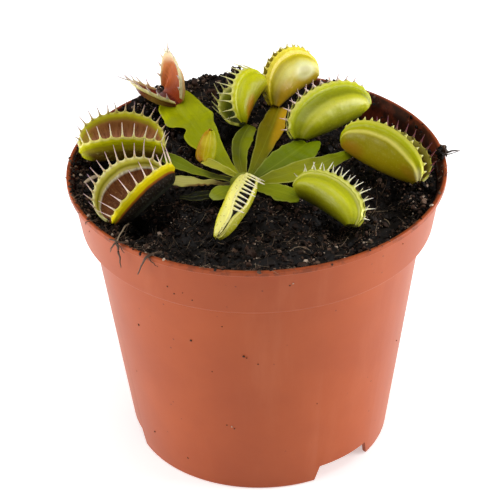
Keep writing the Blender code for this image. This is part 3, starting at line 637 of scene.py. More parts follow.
def build_trap(name, spec, seed):
    """Two lobes in one closed shell, its rims scalloped between curved teeth."""
    rng = np.random.default_rng(seed)
    s = crowd(np.linspace(-1, 1, TRAP_ROWS), 0.35)[:, None]
    t = smoothstep(-0.55, 1.25, np.linspace(0, 1, LOBE_COLUMNS))
    t = (t - t[0]) / (t[-1] - t[0])
    v = np.concatenate([-t[:0:-1], t])[None, :]
    share = np.abs(v)
    inner = lobe_points(spec, s, v)
    normal = unit(np.cross(np.gradient(inner, axis=0), np.gradient(inner, axis=1)))
    normal *= np.sign(normal[TRAP_ROWS // 2, -LOBE_COLUMNS // 2] @ trap_frame(spec)[2])
    swell = 0.06 * wander(inner, 5.0, seed) + 0.02 * wander(inner, 1.6, seed + 1)
    swell = swell * smoothstep(1.0, 0.8, np.abs(s)) * smoothstep(0.05, 0.3, share)
    inner = inner + normal * swell[..., None]
    scallop = np.where(v < 0, *(web(spec, side, count, s) for side, count in zip((-1, 1), spec["count"])))
    beyond = unit(inner[:, [-1, 0]] - inner[:, [-3, 2]])
    towards = np.where((v < 0)[..., None], beyond[:, 1:2], beyond[:, 0:1])
    lift = scallop * np.where(v < 0, *spec["scallop"]) * smoothstep(0.88, 1.0, share)
    inner = inner + towards * lift[..., None]
    thick = sum((change * bump_at(share, at, width) for change, at, width in LOBE_RIDGES), LOBE_PLAIN)
    thick = thick - 0.42 * smoothstep(0.93, 1.0, share)
    glands = scallop * bump_at(share, 0.87, 0.02) + 0.8 * (1 - scallop) * bump_at(share, 0.94, 0.018)
    veins = 0.015 * np.cos(math.pi * VEINS * s) * smoothstep(0.15, 0.5, share) * smoothstep(0.8, 0.6, share)
    outer = inner + normal * (LOBE_T * (thick + GLAND * glands + veins))[..., None]

    def edge(column, out):
        """A half round from the inner skin's rim to the outer one's."""
        a, b = inner[:, column], outer[:, column]
        middle, radius = (a + b) / 2, np.linalg.norm(b - a, axis=1, keepdims=True) / 2
        angles = np.radians([45.0, 90.0, 135.0])
        round_off = [middle + (a - middle) * math.cos(g) + out * radius * math.sin(g) for g in angles]
        return np.stack(round_off, axis=1)

    build = Build()
    sheet(build, inner, outer, edge(-1, beyond[:, 0]), edge(0, beyond[:, 1]), along=(s, s, s, s),
          across=(share, 1, share, 1), lobe=(v > 0, 1, v > 0, 0), inner=(1, 0.5, 0, 0.5))
    for turn, count, length in zip((-1, 1), spec["count"], np.broadcast_to(spec["tooth"], 2)):
        for station in tooth_stations(spec, turn, count):
            grow_tooth(build, spec, station, turn, length, rng)
        if "tip_tooth" in spec:
            grow_tooth(build, dict(spec, curl=-30, trend=0), 0.12, turn, spec["tip_tooth"], rng)
    seat(build, "trap_" + name, 1 if spec["bars"] > 1 else None)
    piece = build.mesh("trap_%s_skin" % name, trap_material("trap_%s_look" % name, spec))
    place(face_out(piece), spec["slot"], "trap_" + name)


def grow_tooth(build, spec, s, turn, length, rng):
    """One tapering, slightly bent tooth, flat and broad where it leaves the rim."""
    sideways = trap_frame(spec)[2]
    rim, below, next_on = lobe_points(spec, [s, s, s + 0.01], [turn, 0.8 * turn, turn])
    outward, rim_run = unit(rim - below), unit(next_on - rim)
    wall = unit(np.cross(outward, rim_run))
    wall *= np.sign(wall @ sideways) * turn
    curl = math.radians(spec["curl"] + rng.normal() * 3.0)
    stray = rim_run * rng.normal() * 0.07
    aim = unit(outward * math.cos(curl) - sideways * (turn * math.sin(curl)) + stray)
    length = length * (1.0 + spec["trend"] * s) * (1.0 - 0.35 * abs(s) ** 3) * rng.uniform(0.8, 1.15)
    u = np.linspace(-0.1, 1.0, 11)
    root = rim + wall * LOBE_T * 0.2 + outward * 0.25
    bend = -sideways * turn * 0.10 * length + outward * rng.normal() * 0.04 * length
    path = root + aim * (length * u)[:, None] + bend * (np.maximum(u, 0) ** 2)[:, None]
    bars = spec["bars"]
    thick = (0.04 + 0.12 * (1 - np.clip(u, 0, 1)) ** 0.8) * bars ** 0.5
    thick[-1] = 0.03 * bars
    broad = 1.1 * bars + 1.6 / bars ** 4 * np.exp(-np.maximum(u + 0.04, 0) * length * 1.9)
    tube(build, path, thick, 8, broad, wall, tooth=np.clip(u, 0.08, 1.0), across=1.0, along=s,
         lobe=float(turn > 0))


# ---------------------------------------------------------------- leaf blades
CROWN = vec(-3.0, -6.2, 70.4)
CROWN_RADII = vec(3.4, 3.4, 3.3)
CROWN_RISE = 3.14      # from foot to top, rad
CROWN_ROWS = 60
CROWN_COLUMNS = 96
BLADE_T = 0.5
BLADE_ROWS = 64
BLADE_COLUMNS = 31
SHOULDER_START = 0.6
JOIN = 0.7        # how far a blade reaches into the crown, where the CAD keeps a clearance
PLAIN_BLADE = dict(
    slot="petiole_green", skew=0, shoulder=(0, 0), ragged=0.05, tears=(), edge=0.2,
    edge_colour=(214, 214, 120), veins=0.35, vein=(96, 122, 20), spots=0.2,
    spot_colour=(110, 78, 30), blushes_and_painted_light=())

# root: azimuth on the crown (deg) and height; tip: a point, or the trap the blade carries
BLADES = {
    "petiole_left_upper": dict(root=(163, 71.9), middle=(-15, -2.4, 72.9), tip="left_upper",
        half=(0.5, 0.7, 1.1, 1.7, 1), face=(0.1, -0.5, 0.85), fold=14, shoulder=(0.6, 0.6), drop=0.6,
        along=[(0, 34, 30, 8), (0.3, 70, 70, 6), (0.45, 120, 128, 4), (0.6, 118, 130, 4), (1, 96, 108, 4)],
        edge=0.5, edge_colour=(186, 184, 70)),
    "petiole_left_lower": dict(root=(190, 71.5), middle=(-13.5, -7.8, 72.65), tip="left_lower",
        half=(0.5, 0.7, 1.4, 1.8, 1.1), face=(0.1, -0.45, 0.9), fold=12, shoulder=(0.6, 0.6), drop=0.85,
        ragged=0.2, tears=[(0.42, -1, 0.03, 0.5), (0.52, -1, 0.025, 0.35), (0.33, -1, 0.03, 0.4)],
        slot="withered_leaf",
        along=[(0, 34, 22, 12), (0.26, 84, 60, 30), (0.42, 168, 156, 80), (0.6, 184, 176, 96),
            (1, 176, 164, 96)], spots=0.6, spot_colour=(120, 78, 34),
        blushes_and_painted_light=[(0.5, -1, 0.32, (104, 66, 30), 0.9)]),
    "petiole_rear_left": dict(root=(121, 71.7), middle=(-12.4, 9.4, 74), tip="rear_left",
        half=(0.7, 2, 4, 6.2, 5.4), face=(0.1, -0.45, 0.9), fold=8, skew=0.1, shoulder=(2.4, 5.4), drop=1.3,
        tears=[(0.68, -1, 0.07, 0.62)], along=[(0, 150, 152, 6), (0.4, 150, 158, 0), (1, 168, 174, 0)],
        edge=0.35, edge_colour=(206, 206, 60), vein=(112, 130, 0), veins=0.15, spots=0.3,
        spot_colour=(120, 118, 4)),
    "petiole_rear_centre": dict(root=(89, 71.9), middle=(-3.9, 5, 74), tip="rear_centre",
        half=(0.7, 1.7, 2.2, 2.7, 1.9), face=(0, -0.6, 0.8), fold=12, skew=0.5, shoulder=(0, 0.3), drop=1.6,
        along=[(0, 120, 118, 4), (0.4, 92, 98, 2), (1, 104, 112, 2)], vein=(60, 72, 2),
        blushes_and_painted_light=[(0.6, 0.9, 0.5, (150, 158, 8), 0.6)]),
    "petiole_rear_top": dict(root=(58, 71.9), middle=(2.2, 7.6, 73.8), tip="rear_top",
        half=(0.7, 1.5, 2.3, 3, 2.1), face=(0.1, -0.5, 0.85), fold=10, shoulder=(0.8, 0.8), drop=1,
        slot="petiole_gold", along=[(0, 104, 110, 4), (0.45, 122, 116, 4), (1, 136, 118, 6)],
        vein=(100, 94, 4), blushes_and_painted_light=[(0.8, 0.9, 0.45, (206, 160, 24), 0.9)]),
    "petiole_right_rear": dict(root=(24, 71.8), middle=(6, 0.4, 73), tip="right_rear",
        half=(0.7, 2.5, 3.7, 4.6, 3.8), face=(0.1, -0.4, 0.9), fold=6, skew=0.55, shoulder=(0.2, 2.8),
        drop=1.4, along=[(0, 84, 92, 2), (0.4, 110, 126, 0), (1, 128, 146, 0)], vein=(84, 104, 0),
        veins=0.25),
    "petiole_right": dict(root=(-5, 71.6), middle=(10.4, -3.6, 72.8), tip="right",
        half=(0.7, 2.3, 2.9, 2.5, 1.6), face=(0.1, -0.3, 0.95), fold=10, skew=0.3, shoulder=(0.2, 2.4),
        drop=1.35, along=[(0, 120, 122, 6), (0.6, 150, 152, 14), (0.9, 128, 136, 4), (1, 150, 166, 4)],
        edge=0.4, vein=(112, 124, 4)),
    "petiole_right_front": dict(root=(-39, 71.6), middle=(4.8, -12.3, 72.6), tip="right_front",
        half=(0.7, 2, 2.9, 3.7, 2.8), face=(0.1, -0.2, 0.97), fold=8, skew=0.6, shoulder=(0, 1.4), drop=1.1,
        along=[(0, 120, 126, 12), (0.6, 138, 146, 20), (1, 128, 138, 14)]),
    "petiole_front": dict(root=(271, 72), middle=(-2.6, -13.8, 74.8), tip="front",
        half=(0.6, 1, 1.2, 1.1, 0.6), face=(0, 0.6, 0.8), fold=10, drop=0.1,
        along=[(0, 150, 152, 6), (1, 176, 176, 10)]),
    "petiole_young": dict(root=(138, 72.7), middle=(-9.2, -3.4, 74.3), tip="young",
        half=(0.5, 0.8, 1, 1.1, 0.6), face=(0.1, -0.5, 0.85), fold=12, drop=0.3,
        along=[(0, 150, 148, 20), (0.6, 172, 168, 50), (1, 190, 180, 60)], edge=0.5,
        # petiole_young: the pale spots are painted highlights on the stalk's bumps
        edge_colour=(220, 214, 120), spots=0.5, spot_colour=(232, 228, 160)),
    "leaf_small": dict(root=(238, 71.6), middle=(-8.2, -11.6, 72.2), tip=(-10.7, -13.5, 71.8),
        half=(0.6, 1.5, 2.1, 1.8, 0.7), face=(0, -0.3, 0.95), fold=8,
        along=[(0, 96, 104, 8), (0.7, 140, 148, 20), (1, 176, 186, 80)]),
    "leaf_dead": dict(root=(213, 70.9), middle=(-12.4, -11.6, 71.35), tip=(-18, -12.2, 71.5),
        half=(0.5, 1.2, 1.6, 1.3, 0.5), face=(0, -0.1, 1), fold=6, slot="dead_leaf",
        along=[(0, 30, 32, 10), (1, 18, 18, 8)], edge=0.1, vein=(14, 14, 6)),
}


def crown_point(azimuth, height):
    """A point inside the crown's skin, at about the given height."""
    a = math.radians(azimuth)
    rise = (height - CROWN[2]) / CROWN_RADII[2]
    level = math.sqrt(max(0.0, 1.0 - rise * rise))
    on_ball = vec(level * math.cos(a), level * math.sin(a), rise)
    return CROWN + (CROWN_RADII - JOIN) * on_ball


def blade_line(spec):
    """Root, middle and tip of a blade's centreline, both ends reaching into what they grow from."""
    middle = vec(*spec["middle"])
    if not isinstance(spec["tip"], str):
        return crown_point(*spec["root"]), middle, vec(*spec["tip"])
    trap = TRAPS[spec["tip"]]
    neck = vec(*trap["neck"]) - trap_frame(trap)[3] * (spec["drop"] - 0.3)
    return crown_point(*spec["root"]), middle, neck - unit(middle - neck) * 0.3


def build_blade(name, spec, seed):
    """A leaf blade folded along its midrib, with a wavy margin, flattening toward its shoulders."""
    t = np.linspace(0, 1, BLADE_ROWS)[:, None]
    v = crowd(np.linspace(-1, 1, BLADE_COLUMNS), 0.5)[None, :]
    size = np.abs(v)
    p = bezier(blade_line(spec), t)
    ahead = unit(np.gradient(p, axis=0))
    side = unit(np.cross(ahead, vec(*spec["face"])))
    up = np.cross(side, ahead)
    half = evenly(spec["half"], t) * np.where(v < 0, 1 - spec["skew"] * t * t, 1.0)
    margin = np.where(v < 0, *(wander(t * vec(40, 0, 0), 9.0, seed + turn)[:, None] for turn in (0, 3)))
    half = half * (1 - spec["ragged"] * (1 + margin))
    for at, turn, width, depth in spec["tears"]:
        half = half * np.where(v * turn > 0, 1 - depth * bump_at(t, at, width), 1.0)
    lift = math.tan(math.radians(spec["fold"])) * size * half * (1 - t ** 3)
    near_tip = np.maximum(0.0, (t - SHOULDER_START) / (1 - SHOULDER_START))
    push = np.where(v < 0, *spec["shoulder"]) * 4 * size * (1 - size) * near_tip ** 2
    middle = (p[:, None] + side[:, None] * (v * half)[..., None] + up[:, None] * lift[..., None]
              + ahead[:, None] * push[..., None])
    sway = 0.14 * wander(middle, 4.5, seed + 5) + 0.10 * wander(middle, 2.2, seed + 6) * size
    middle = middle + up[:, None] * sway[..., None]
    normal = unit(np.cross(np.gradient(middle, axis=0), np.gradient(middle, axis=1)))
    normal *= np.sign(np.sum(normal * up[:, None], axis=-1, keepdims=True))
    thick = BLADE_T * (0.34 + 0.16 * (1 - size ** 2) + 0.30 * bump_at(size, 0.0, 0.10))
    top = middle + normal * (thick * 0.5)[..., None]
    under = middle - normal * (thick * (1.0 + 0.8 * bump_at(size, 0.0, 0.12)) * 0.7)[..., None]

    def edge(column, within):
        """One point that rounds off the margin."""
        out = unit(middle[:, column] - middle[:, within])
        return ((top[:, column] + under[:, column]) / 2 + out * 0.12)[:, None]

    build = Build()
    sheet(build, top, under, edge(-1, -3), edge(0, 2), along=(t, t, t, t), across=(v, 1, v, -1))
    piece = build.mesh(name + "_skin", blade_material(name + "_look", spec))
    place(face_out(piece), spec["slot"], name)


def build_crown():
    """The short rhizome top, ridged by the bases of the leaves that grow from it."""
    look = dict(PLAIN_BLADE, along=[(0, 60, 56, 20), (0.6, 110, 112, 30), (1, 160, 160, 60)])
    rise = np.linspace(-math.pi / 2, math.pi / 2, CROWN_ROWS)[:, None]
    turn = np.linspace(0, FULL_TURN, CROWN_COLUMNS, endpoint=False)[None, :]
    ball = polar(np.cos(rise), turn, np.sin(rise))
    swell = 0.96 + 0.03 * wander(ball * 3.4, 1.6, 4)
    for spec in BLADES.values():
        away = np.angle(np.exp(1j * (turn - math.radians(spec["root"][0]))))
        swell = swell + 0.09 * bump_at(away, 0.0, 0.22) * bump_at(rise, 0.35, 0.6)
    points = CROWN + ball * CROWN_RADII * swell[..., None]
    crown = turned("crown_skin", blade_material("crown_look", look), points, across=0.5,
                   along=np.repeat((rise + CROWN_RISE / 2) / CROWN_RISE, CROWN_COLUMNS))
    place(crown, "crown_tissue", "crown")


# ---------------------------------------------------------------- pot
pot_low, pot_high = (np.array(corner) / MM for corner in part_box("pot"))
RIM_R = (pot_high[0] - pot_low[0]) / 2
RIM_Z = pot_high[2]
LIP = 1.3              # height of the lip
WALL = 1.2
COLLAR_WALL = 0.85     # the moulded collar and lip are thinner than the body
COLLAR_TOP = (RIM_R - 1.1, RIM_Z - 1.7)
COLLAR_FOOT = (RIM_R - 3.0, RIM_Z - 13.2)
BODY_TOP = (RIM_R - 5.6, RIM_Z - 14.6)
FOOT_R = RIM_R - 13.7
FLOOR_Z = 4.7
FLOOR_TOP = 5.9
NOTCH_HEIGHT = 4.3
NOTCH_AZIMUTHS = (39.0, 159.0, -81.0)
NOTCH_WIDTH = (19.0, 14.6)
NOTCH_DEPTH = 9.0
DRAIN_R = 2.4
DRAIN_RING = 24.5
DRAIN_COUNT = 6
DRAIN_DEPTH = 4.8
POT_SEGMENTS = 240


def rounded(profile, steps=5):
    """The (radius, height) points of a profile of (radius, height, rounding) corners."""
    points, radii = np.array(profile)[:, :2], np.array(profile)[:, 2]
    out = [points[0]]
    for before, corner, after, radius in zip(points, points[1:], points[2:], radii[1:]):
        a, b = before - corner, after - corner
        reach = min(radius, 0.45 * np.linalg.norm(a), 0.45 * np.linalg.norm(b))
        a, b = corner + unit(a) * reach, corner + unit(b) * reach
        out += [a * (1 - k) ** 2 + corner * 2 * k * (1 - k) + b * k * k for k in np.linspace(0, 1, steps)]
    return np.array(out + [points[-1]])


def body_radius(z):
    return FOOT_R + (BODY_TOP[0] - FOOT_R) * z / BODY_TOP[1]


def collar_radius(z):
    share = np.clip((z - COLLAR_FOOT[1]) / (COLLAR_TOP[1] - COLLAR_FOOT[1]), 0, 1)
    return COLLAR_FOOT[0] + share * (COLLAR_TOP[0] - COLLAR_FOOT[0])


def cut(obj, bm):
    """Takes the body in bm out of the object."""
    mesh = bpy.data.meshes.new("cutter")
    bm.to_mesh(mesh)
    bm.free()
    tool = show("cutter", mesh)
    modifier = obj.modifiers.new("cut", "BOOLEAN")
    modifier.operation = "DIFFERENCE"
    modifier.object = tool
    evaluated = obj.evaluated_get(bpy.context.evaluated_depsgraph_get())
    mesh = bpy.data.meshes.new_from_object(evaluated)
    obj.modifiers.clear()
    obj.data = mesh
    bpy.data.objects.remove(tool)


def build_pot(material):
    """Turned shell with a rounded lip, a stepped collar, drain holes and three notches in the foot."""
    outline = rounded([
        (0.0, FLOOR_Z, 0), (body_radius(FLOOR_Z) - WALL, FLOOR_Z, 0.5), (FOOT_R - WALL, 0.0, 0.3),
        (FOOT_R, 0.0, 0.3), (*BODY_TOP, 0.5), (*COLLAR_FOOT, 0.5), (*COLLAR_TOP, 0.5),
        (RIM_R, RIM_Z - LIP, 0.3), (RIM_R, RIM_Z, 0.3), (RIM_R - COLLAR_WALL, RIM_Z, 0.3),
        (COLLAR_TOP[0] - COLLAR_WALL, RIM_Z - LIP - 0.8, 0.6),
        (COLLAR_FOOT[0] - COLLAR_WALL, COLLAR_FOOT[1], 0.6), (BODY_TOP[0] - WALL, BODY_TOP[1] - WALL, 0.8),
        (body_radius(FLOOR_TOP) - WALL, FLOOR_TOP, 1.0), (0.0, FLOOR_TOP, 0),
    ])
    apex = int(np.argmax(outline[:, 1]))
    inner = smoothstep(apex, apex + 6, np.arange(len(outline)))
    turn = np.linspace(0, FULL_TURN, POT_SEGMENTS, endpoint=False)
    pot = turned("pot_shell", material, polar(outline[:, :1], turn, outline[:, 1:]),
                 inner=np.repeat(inner, POT_SEGMENTS))
    for azimuth in NOTCH_AZIMUTHS:
        bm = bmesh.new()
        bmesh.ops.create_cube(bm, size=2.0)
        for vert in bm.verts:
            x, y, z = vert.co
            wide = NOTCH_WIDTH[z > 0]
            vert.co = Vector((x * wide / 2, y * NOTCH_DEPTH / 2 - FOOT_R, z * NOTCH_HEIGHT)) * MM
        bmesh.ops.rotate(bm, verts=bm.verts, matrix=Matrix.Rotation(math.radians(azimuth), 3, "Z"))
        cut(pot, bm)
    for i in range(DRAIN_COUNT):
        bm = bmesh.new()
        bmesh.ops.create_cone(bm, cap_ends=True, segments=32, radius1=DRAIN_R * MM, radius2=DRAIN_R * MM,
                              depth=DRAIN_DEPTH * MM)
        centre = on_wall(NOTCH_AZIMUTHS[0] + 360.0 * i / DRAIN_COUNT, DRAIN_RING, FLOOR_Z)
        bmesh.ops.translate(bm, verts=bm.verts, vec=Vector(centre) * MM)
        cut(pot, bm)
    pot.data.shade_smooth()
    pot.data.set_sharp_from_angle(angle=math.radians(35))
    place(pot, "pot_plastic", "pot")


# ---------------------------------------------------------------- peat
SOIL_Z = 70.3
SOIL_EDGE_R = 41.5
SOIL_EDGE_MAX = 72.8
BED_RINGS = 70
BED_COLUMNS = 210
BED_WAVES = ((0.30, 3.0, 31), (0.22, 1.4, 32), (0.16, 0.8, 33))     # height (mm), size (mm) and seed
# middle, rise and reach of each broad heap or dip
SOIL_SHAPE = (
    (-20.0, 30.0, 3.2, 17.0), (-2.0, 36.0, 2.4, 13.0), (-34.0, 14.0, 0.8, 12.0), (36.0, 14.0, -5.0, 16.0),
    (25.0, 29.0, -3.6, 13.0), (35.0, -14.0, -1.6, 10.0), (15.0, -24.0, -3.0, 8.5), (28.0, -4.0, -2.4, 8.0),
    (-26.0, -19.0, -3.6, 9.0), (-32.0, 2.0, -2.2, 9.0), (17.0, 11.0, -1.6, 9.0), (-7.0, -29.0, -0.8, 7.0),
)
# each clod is a low dome on the bed, the gaps between them left deep
CLOD_SEED = 77
CLOD_COUNT = 210
CLOD_SIZES = (2.2, 6.2)
CLOD_RISE = 0.42
VOID_DEPTH = 1.6


def draw_clods():
    """Middles (x, y) and radii of the clods."""
    rng = np.random.default_rng(CLOD_SEED)
    radius = SOIL_EDGE_R * np.sqrt(rng.uniform(0, 1.1, CLOD_COUNT))
    turn = rng.uniform(0, FULL_TURN, CLOD_COUNT)
    return radius * np.cos(turn), radius * np.sin(turn), rng.uniform(*CLOD_SIZES, CLOD_COUNT)


CLOD_X, CLOD_Y, CLOD_R = draw_clods()


def soil_height(x, y):
    """Top of the peat, with its heap at the back left and its low side at the right."""
    z = SOIL_Z + 0 * x
    for cx, cy, change, reach in SOIL_SHAPE:
        z = z + change * np.exp(-((x - cx) ** 2 + (y - cy) ** 2) / (0.7 * reach * reach))
    z = z + 0.35 * np.sin(0.42 * x + 1.0) * np.cos(0.37 * y) + 0.22 * np.sin(0.83 * x - 0.61 * y)
    edge = smoothstep(SOIL_EDGE_R - 4, SOIL_EDGE_R, np.hypot(x, y))
    return z + (np.minimum(z, SOIL_EDGE_MAX) - z) * edge


def peat_top(x, y):
    """Height of the crumbly surface, and how high each point stands on a clod, 0 in the gaps to 1 on the
    clods; the crumbs in the gaps are darkened by it as painted shade.
    """
    away = (x[..., None] - CLOD_X) ** 2 + (y[..., None] - CLOD_Y) ** 2
    rise = np.maximum(CLOD_RISE * (CLOD_R * (1 - away / CLOD_R ** 2)).max(-1), 0.0)
    return soil_height(x, y) - VOID_DEPTH + rise, smoothstep(0.1, 1.7, rise)


def wall_radius(z):
    """Inside radius of the collar at height z, less a crumb's width."""
    return collar_radius(z) - COLLAR_WALL - 0.1


def build_soil(material):
    """The plug of peat, crumbly on top."""
    turn = np.linspace(0, FULL_TURN, BED_COLUMNS, endpoint=False)
    share = np.sqrt(np.linspace(0.0, 1.0, BED_RINGS))[:, None]
    spots = polar(SOIL_EDGE_R * share, turn, 0.0)
    x, y = spots[..., 0], spots[..., 1]
    z = peat_top(x, y)[0]
    spots = np.stack([x, y, z], axis=-1)
    rough = sum(height * wander(spots, size, seed) for height, size, seed in BED_WAVES)
    z = z + rough * smoothstep(1.0, 0.96, share)
    reach = 1 + (wall_radius(z) / SOIL_EDGE_R - 1) * share ** 8
    top = np.stack([x * reach, y * reach, z], axis=-1)
    floor = FLOOR_TOP + 0.3
    neck = BODY_TOP[1] - WALL - 0.5
    side = ((wall_radius(60.0), 60.0), (body_radius(neck) - WALL - 0.4, neck),
            (body_radius(floor) - WALL - 0.4, floor), (0.0, floor))
    points = np.concatenate([top, [polar(radius, turn, height) for radius, height in side]])
    place(turned("peat_bed", material, points, tone=0.05), "peat", "soil")


def ball_chunk(subdivisions):
    """Points and faces of a ball 1 across."""
    bm = bmesh.new()
    bmesh.ops.create_icosphere(bm, subdivisions=subdivisions, radius=0.5)
    points, faces = [v.co[:] for v in bm.verts], [[v.index for v in f.verts] for f in bm.faces]
    bm.free()
    return np.array(points), np.array(faces)


GRAIN_CORNERS = np.array([(0, 0, -1), (0, 0, 1), (0, -1, 0), (-1, 0, 0), (0, 1, 0), (1, 0, 0)]) / 2
GRAIN_WAIST = ((5, 2), (2, 3), (3, 4), (4, 5))
CHUNKS = {
    "fine": (GRAIN_CORNERS, np.array([face for a, b in GRAIN_WAIST for face in ((a, b, 0), (b, a, 1))])),
    "coarse": ball_chunk(1),
    "lumpy": ball_chunk(2),
}


def strew(name, material, kind, spots, size, tone, rng):
    """One mesh of lumpy chunks, each with its own shape, turn, size (mm) and tone."""
    points, faces = CHUNKS[kind]
    count = len(spots)
    stretch = rng.uniform(0.55, 1.3, (count, 1, 3))
    lumps = points * (1 + rng.uniform(-0.22, 0.22, (count, len(points), 1))) * stretch * size[:, None, None]
    turn = unit(rng.normal(size=(count, 1, 4)))
    swing = 2 * np.cross(turn[..., 1:], lumps)
    lumps = lumps + turn[..., :1] * swing + np.cross(turn[..., 1:], swing) + spots[:, None]
    build = Build()
    order = (np.arange(count)[:, None, None] * len(points) + faces).reshape(-1, faces.shape[1])
    build.add(lumps, order, tone=np.repeat(tone, len(points)))
    place(build.mesh(name, material, smooth=False), "peat")


def sizes_between(rng, count, low, high):
    """Sizes from low to high, the small ones far more common."""
    return low * (high / low) ** (rng.uniform(0, 1, count) ** 1.8)


def peat_tones(rng, count, light):
    """Mostly near black, many brown, and a share of pale ones."""
    dark = 0.62 * rng.beta(0.9, 1.7, count)
    return np.where(rng.uniform(size=count) < light, rng.uniform(0.55, 1.0, count), dark)


# crumbs strewn over the whole bed: name, kind, count, sizes (mm), seed and share of pale ones
STREWN = (
    ("peat_grains", "fine", 22000, (0.2, 0.62), 41, 0.3),
    ("peat_crumbs", "coarse", 4600, (0.5, 1.5), 42, 0.02),
    ("peat_lumps", "lumpy", 300, (1.2, 2.8), 44, 0.0),
)


def scatter(material, name, kind, count, sizes, seed, light):
    """Crumbs of peat lying on the bed."""
    rng = np.random.default_rng(seed)
    size = sizes_between(rng, count, *sizes)
    reach = wall_radius(soil_height(SOIL_EDGE_R, 0.0)) - 0.3
    spots = polar(np.sqrt(rng.uniform(0, 1, count)) * reach, rng.uniform(0, FULL_TURN, count), 0.0)
    spots[:, 2], lit_share = peat_top(spots[:, 0], spots[:, 1])
    spots[:, 2] += size * rng.uniform(-0.1, 0.35, count)
    # painted shade: crumbs in the gaps between clods darkened, those on the clods kept at their tone
    tone = peat_tones(rng, count, light) * (0.25 + 0.75 * lit_share)
    strew(name, material, kind, spots, size, tone, rng)


RIM_CRUMBS = 5200
# azimuth from the front toward +X (deg), share of the rim that carries crumbs
RIM_DIRT = ((-180, 0.9), (-140, 0.9), (-100, 1.0), (-60, 1.0), (-20, 0.7), (10, 0.6), (40, 0.5), (70, 0.2),
            (90, 0.05), (130, 0.05), (155, 0.6), (180, 0.9))


def scatter_on_rim(name, material, seed):
    """Crumbs banked against the wall and caught on the lip, thickest at the front left and the back."""
    rng = np.random.default_rng(seed)
    azimuth = rng.uniform(-180, 180, RIM_CRUMBS)
    azimuth = azimuth[rng.uniform(size=RIM_CRUMBS) < np.interp(azimuth, *zip(*RIM_DIRT))]
    count = len(azimuth)
    radius = RIM_R - 0.2 - 5.0 * rng.uniform(0, 1, count) ** 0.9
    spots = polar(radius, np.radians(azimuth - 90.0), 0.0)
    size = sizes_between(rng, count, 0.25, 1.2)
    bank = RIM_Z - 0.1 - 0.5 * np.maximum(0, RIM_R - 0.8 - radius) - rng.uniform(0, 0.5, count)
    spots[:, 2] = np.maximum(bank, peat_top(spots[:, 0], spots[:, 1])[0]) + size * 0.1
    strew(name, material, "coarse", spots, size, peat_tones(rng, count, 0.05), rng)


# centre (mm), half sizes (mm), chunks and share of pale ones of the clods that stand out
CLODS = {
    "clod_rim_right": ((44.0, 2.6, 73.3), (1.5, 2.0, 1.5), 150, 0.1),
    "clod_by_right_trap": ((36.2, -8.6, 71.2), (4.2, 2.4, 2.0), 330, 0.1),
    "clod_right_front": ((36.6, -15.2, 70.3), (3.4, 4.6, 1.9), 380, 0.2),
    "clod_back": ((-3.6, 39.6, 74.6), (2.4, 2.0, 2.6), 190, 0.0),
    "clod_back_rim": ((-5.0, 43.6, 72.2), (4.6, 1.0, 0.9), 220, 0.02),
    "clod_back_left_rim": ((-11.6, 42.4, 72.2), (2.8, 1.1, 0.8), 130, 0.02),
    "clod_rear_left": ((-20.6, 17.2, 72.2), (3.4, 2.2, 1.8), 260, 0.02),
}


def pile(name, material, centre, radii, count, light, seed):
    """A clod: chunks packed in an ellipsoid at centre (mm), darkened toward its underside as painted shade.
    """
    rng = np.random.default_rng(seed)
    inside = unit(rng.normal(size=(count, 3))) * rng.uniform(0, 1, (count, 1)) ** 0.5
    # painted shade: chunks low in the clod darkened, those on top kept at their tone
    tone = peat_tones(rng, count, light) * (0.35 + 0.65 * smoothstep(-0.6, 0.6, inside[:, 2]))
    size = sizes_between(rng, count, 0.35, 1.3)
    strew(name, material, "coarse", vec(*centre) + inside * vec(*radii), size, tone, rng)


SPECK_SCALE = 0.7
# crumbs stuck to the outside of the pot: azimuth (deg), height (mm), size (mm), tone
SPECKS = (
    (-49, 44.3, 0.7, 0.3), (-25, 46.3, 0.8, 0.2), (-18, 37.7, 0.4, 0.1), (-6, 43.6, 0.8, 0.4),
    (-5, 43.1, 0.5, 0.3), (-1, 41.2, 0.6, 0.3), (-53, 8.9, 0.7, 0.2), (-34, 6.1, 0.6, 0.4),
    (-27, 61.9, 0.5, 0.3), (-24, 62.8, 0.4, 0.3), (-29, 63.6, 0.5, 0.4), (-21, 61.2, 0.4, 0.3),
    (10, 67.3, 0.8, 0.9), (9, 66.8, 0.5, 0.2), (67, 30.6, 0.5, 0.1), (-13, 52.4, 0.4, 0.3),
    (22, 26, 0.4, 0.2), (-58, 26.5, 0.4, 0.3), (-12, 20.5, 0.7, 0.8), (-11, 19.9, 0.6, 0.3),
    (-14, 20.8, 0.4, 0.2), (49, 68, 0.4, 0.2), (-64, 67, 0.5, 0.2),
)


def stick_specks(material):
    """Crumbs and splashes on the outside wall."""
    azimuths, heights, sizes, tones = np.array(SPECKS).T
    walls = [collar_radius(z) if z > COLLAR_FOOT[1] else body_radius(z) for z in heights]
    spots = polar(walls + 0.04 * sizes, np.radians(azimuths - 90.0), heights)
    strew("peat_specks", material, "lumpy", spots, SPECK_SCALE * sizes, tones, np.random.default_rng(46))


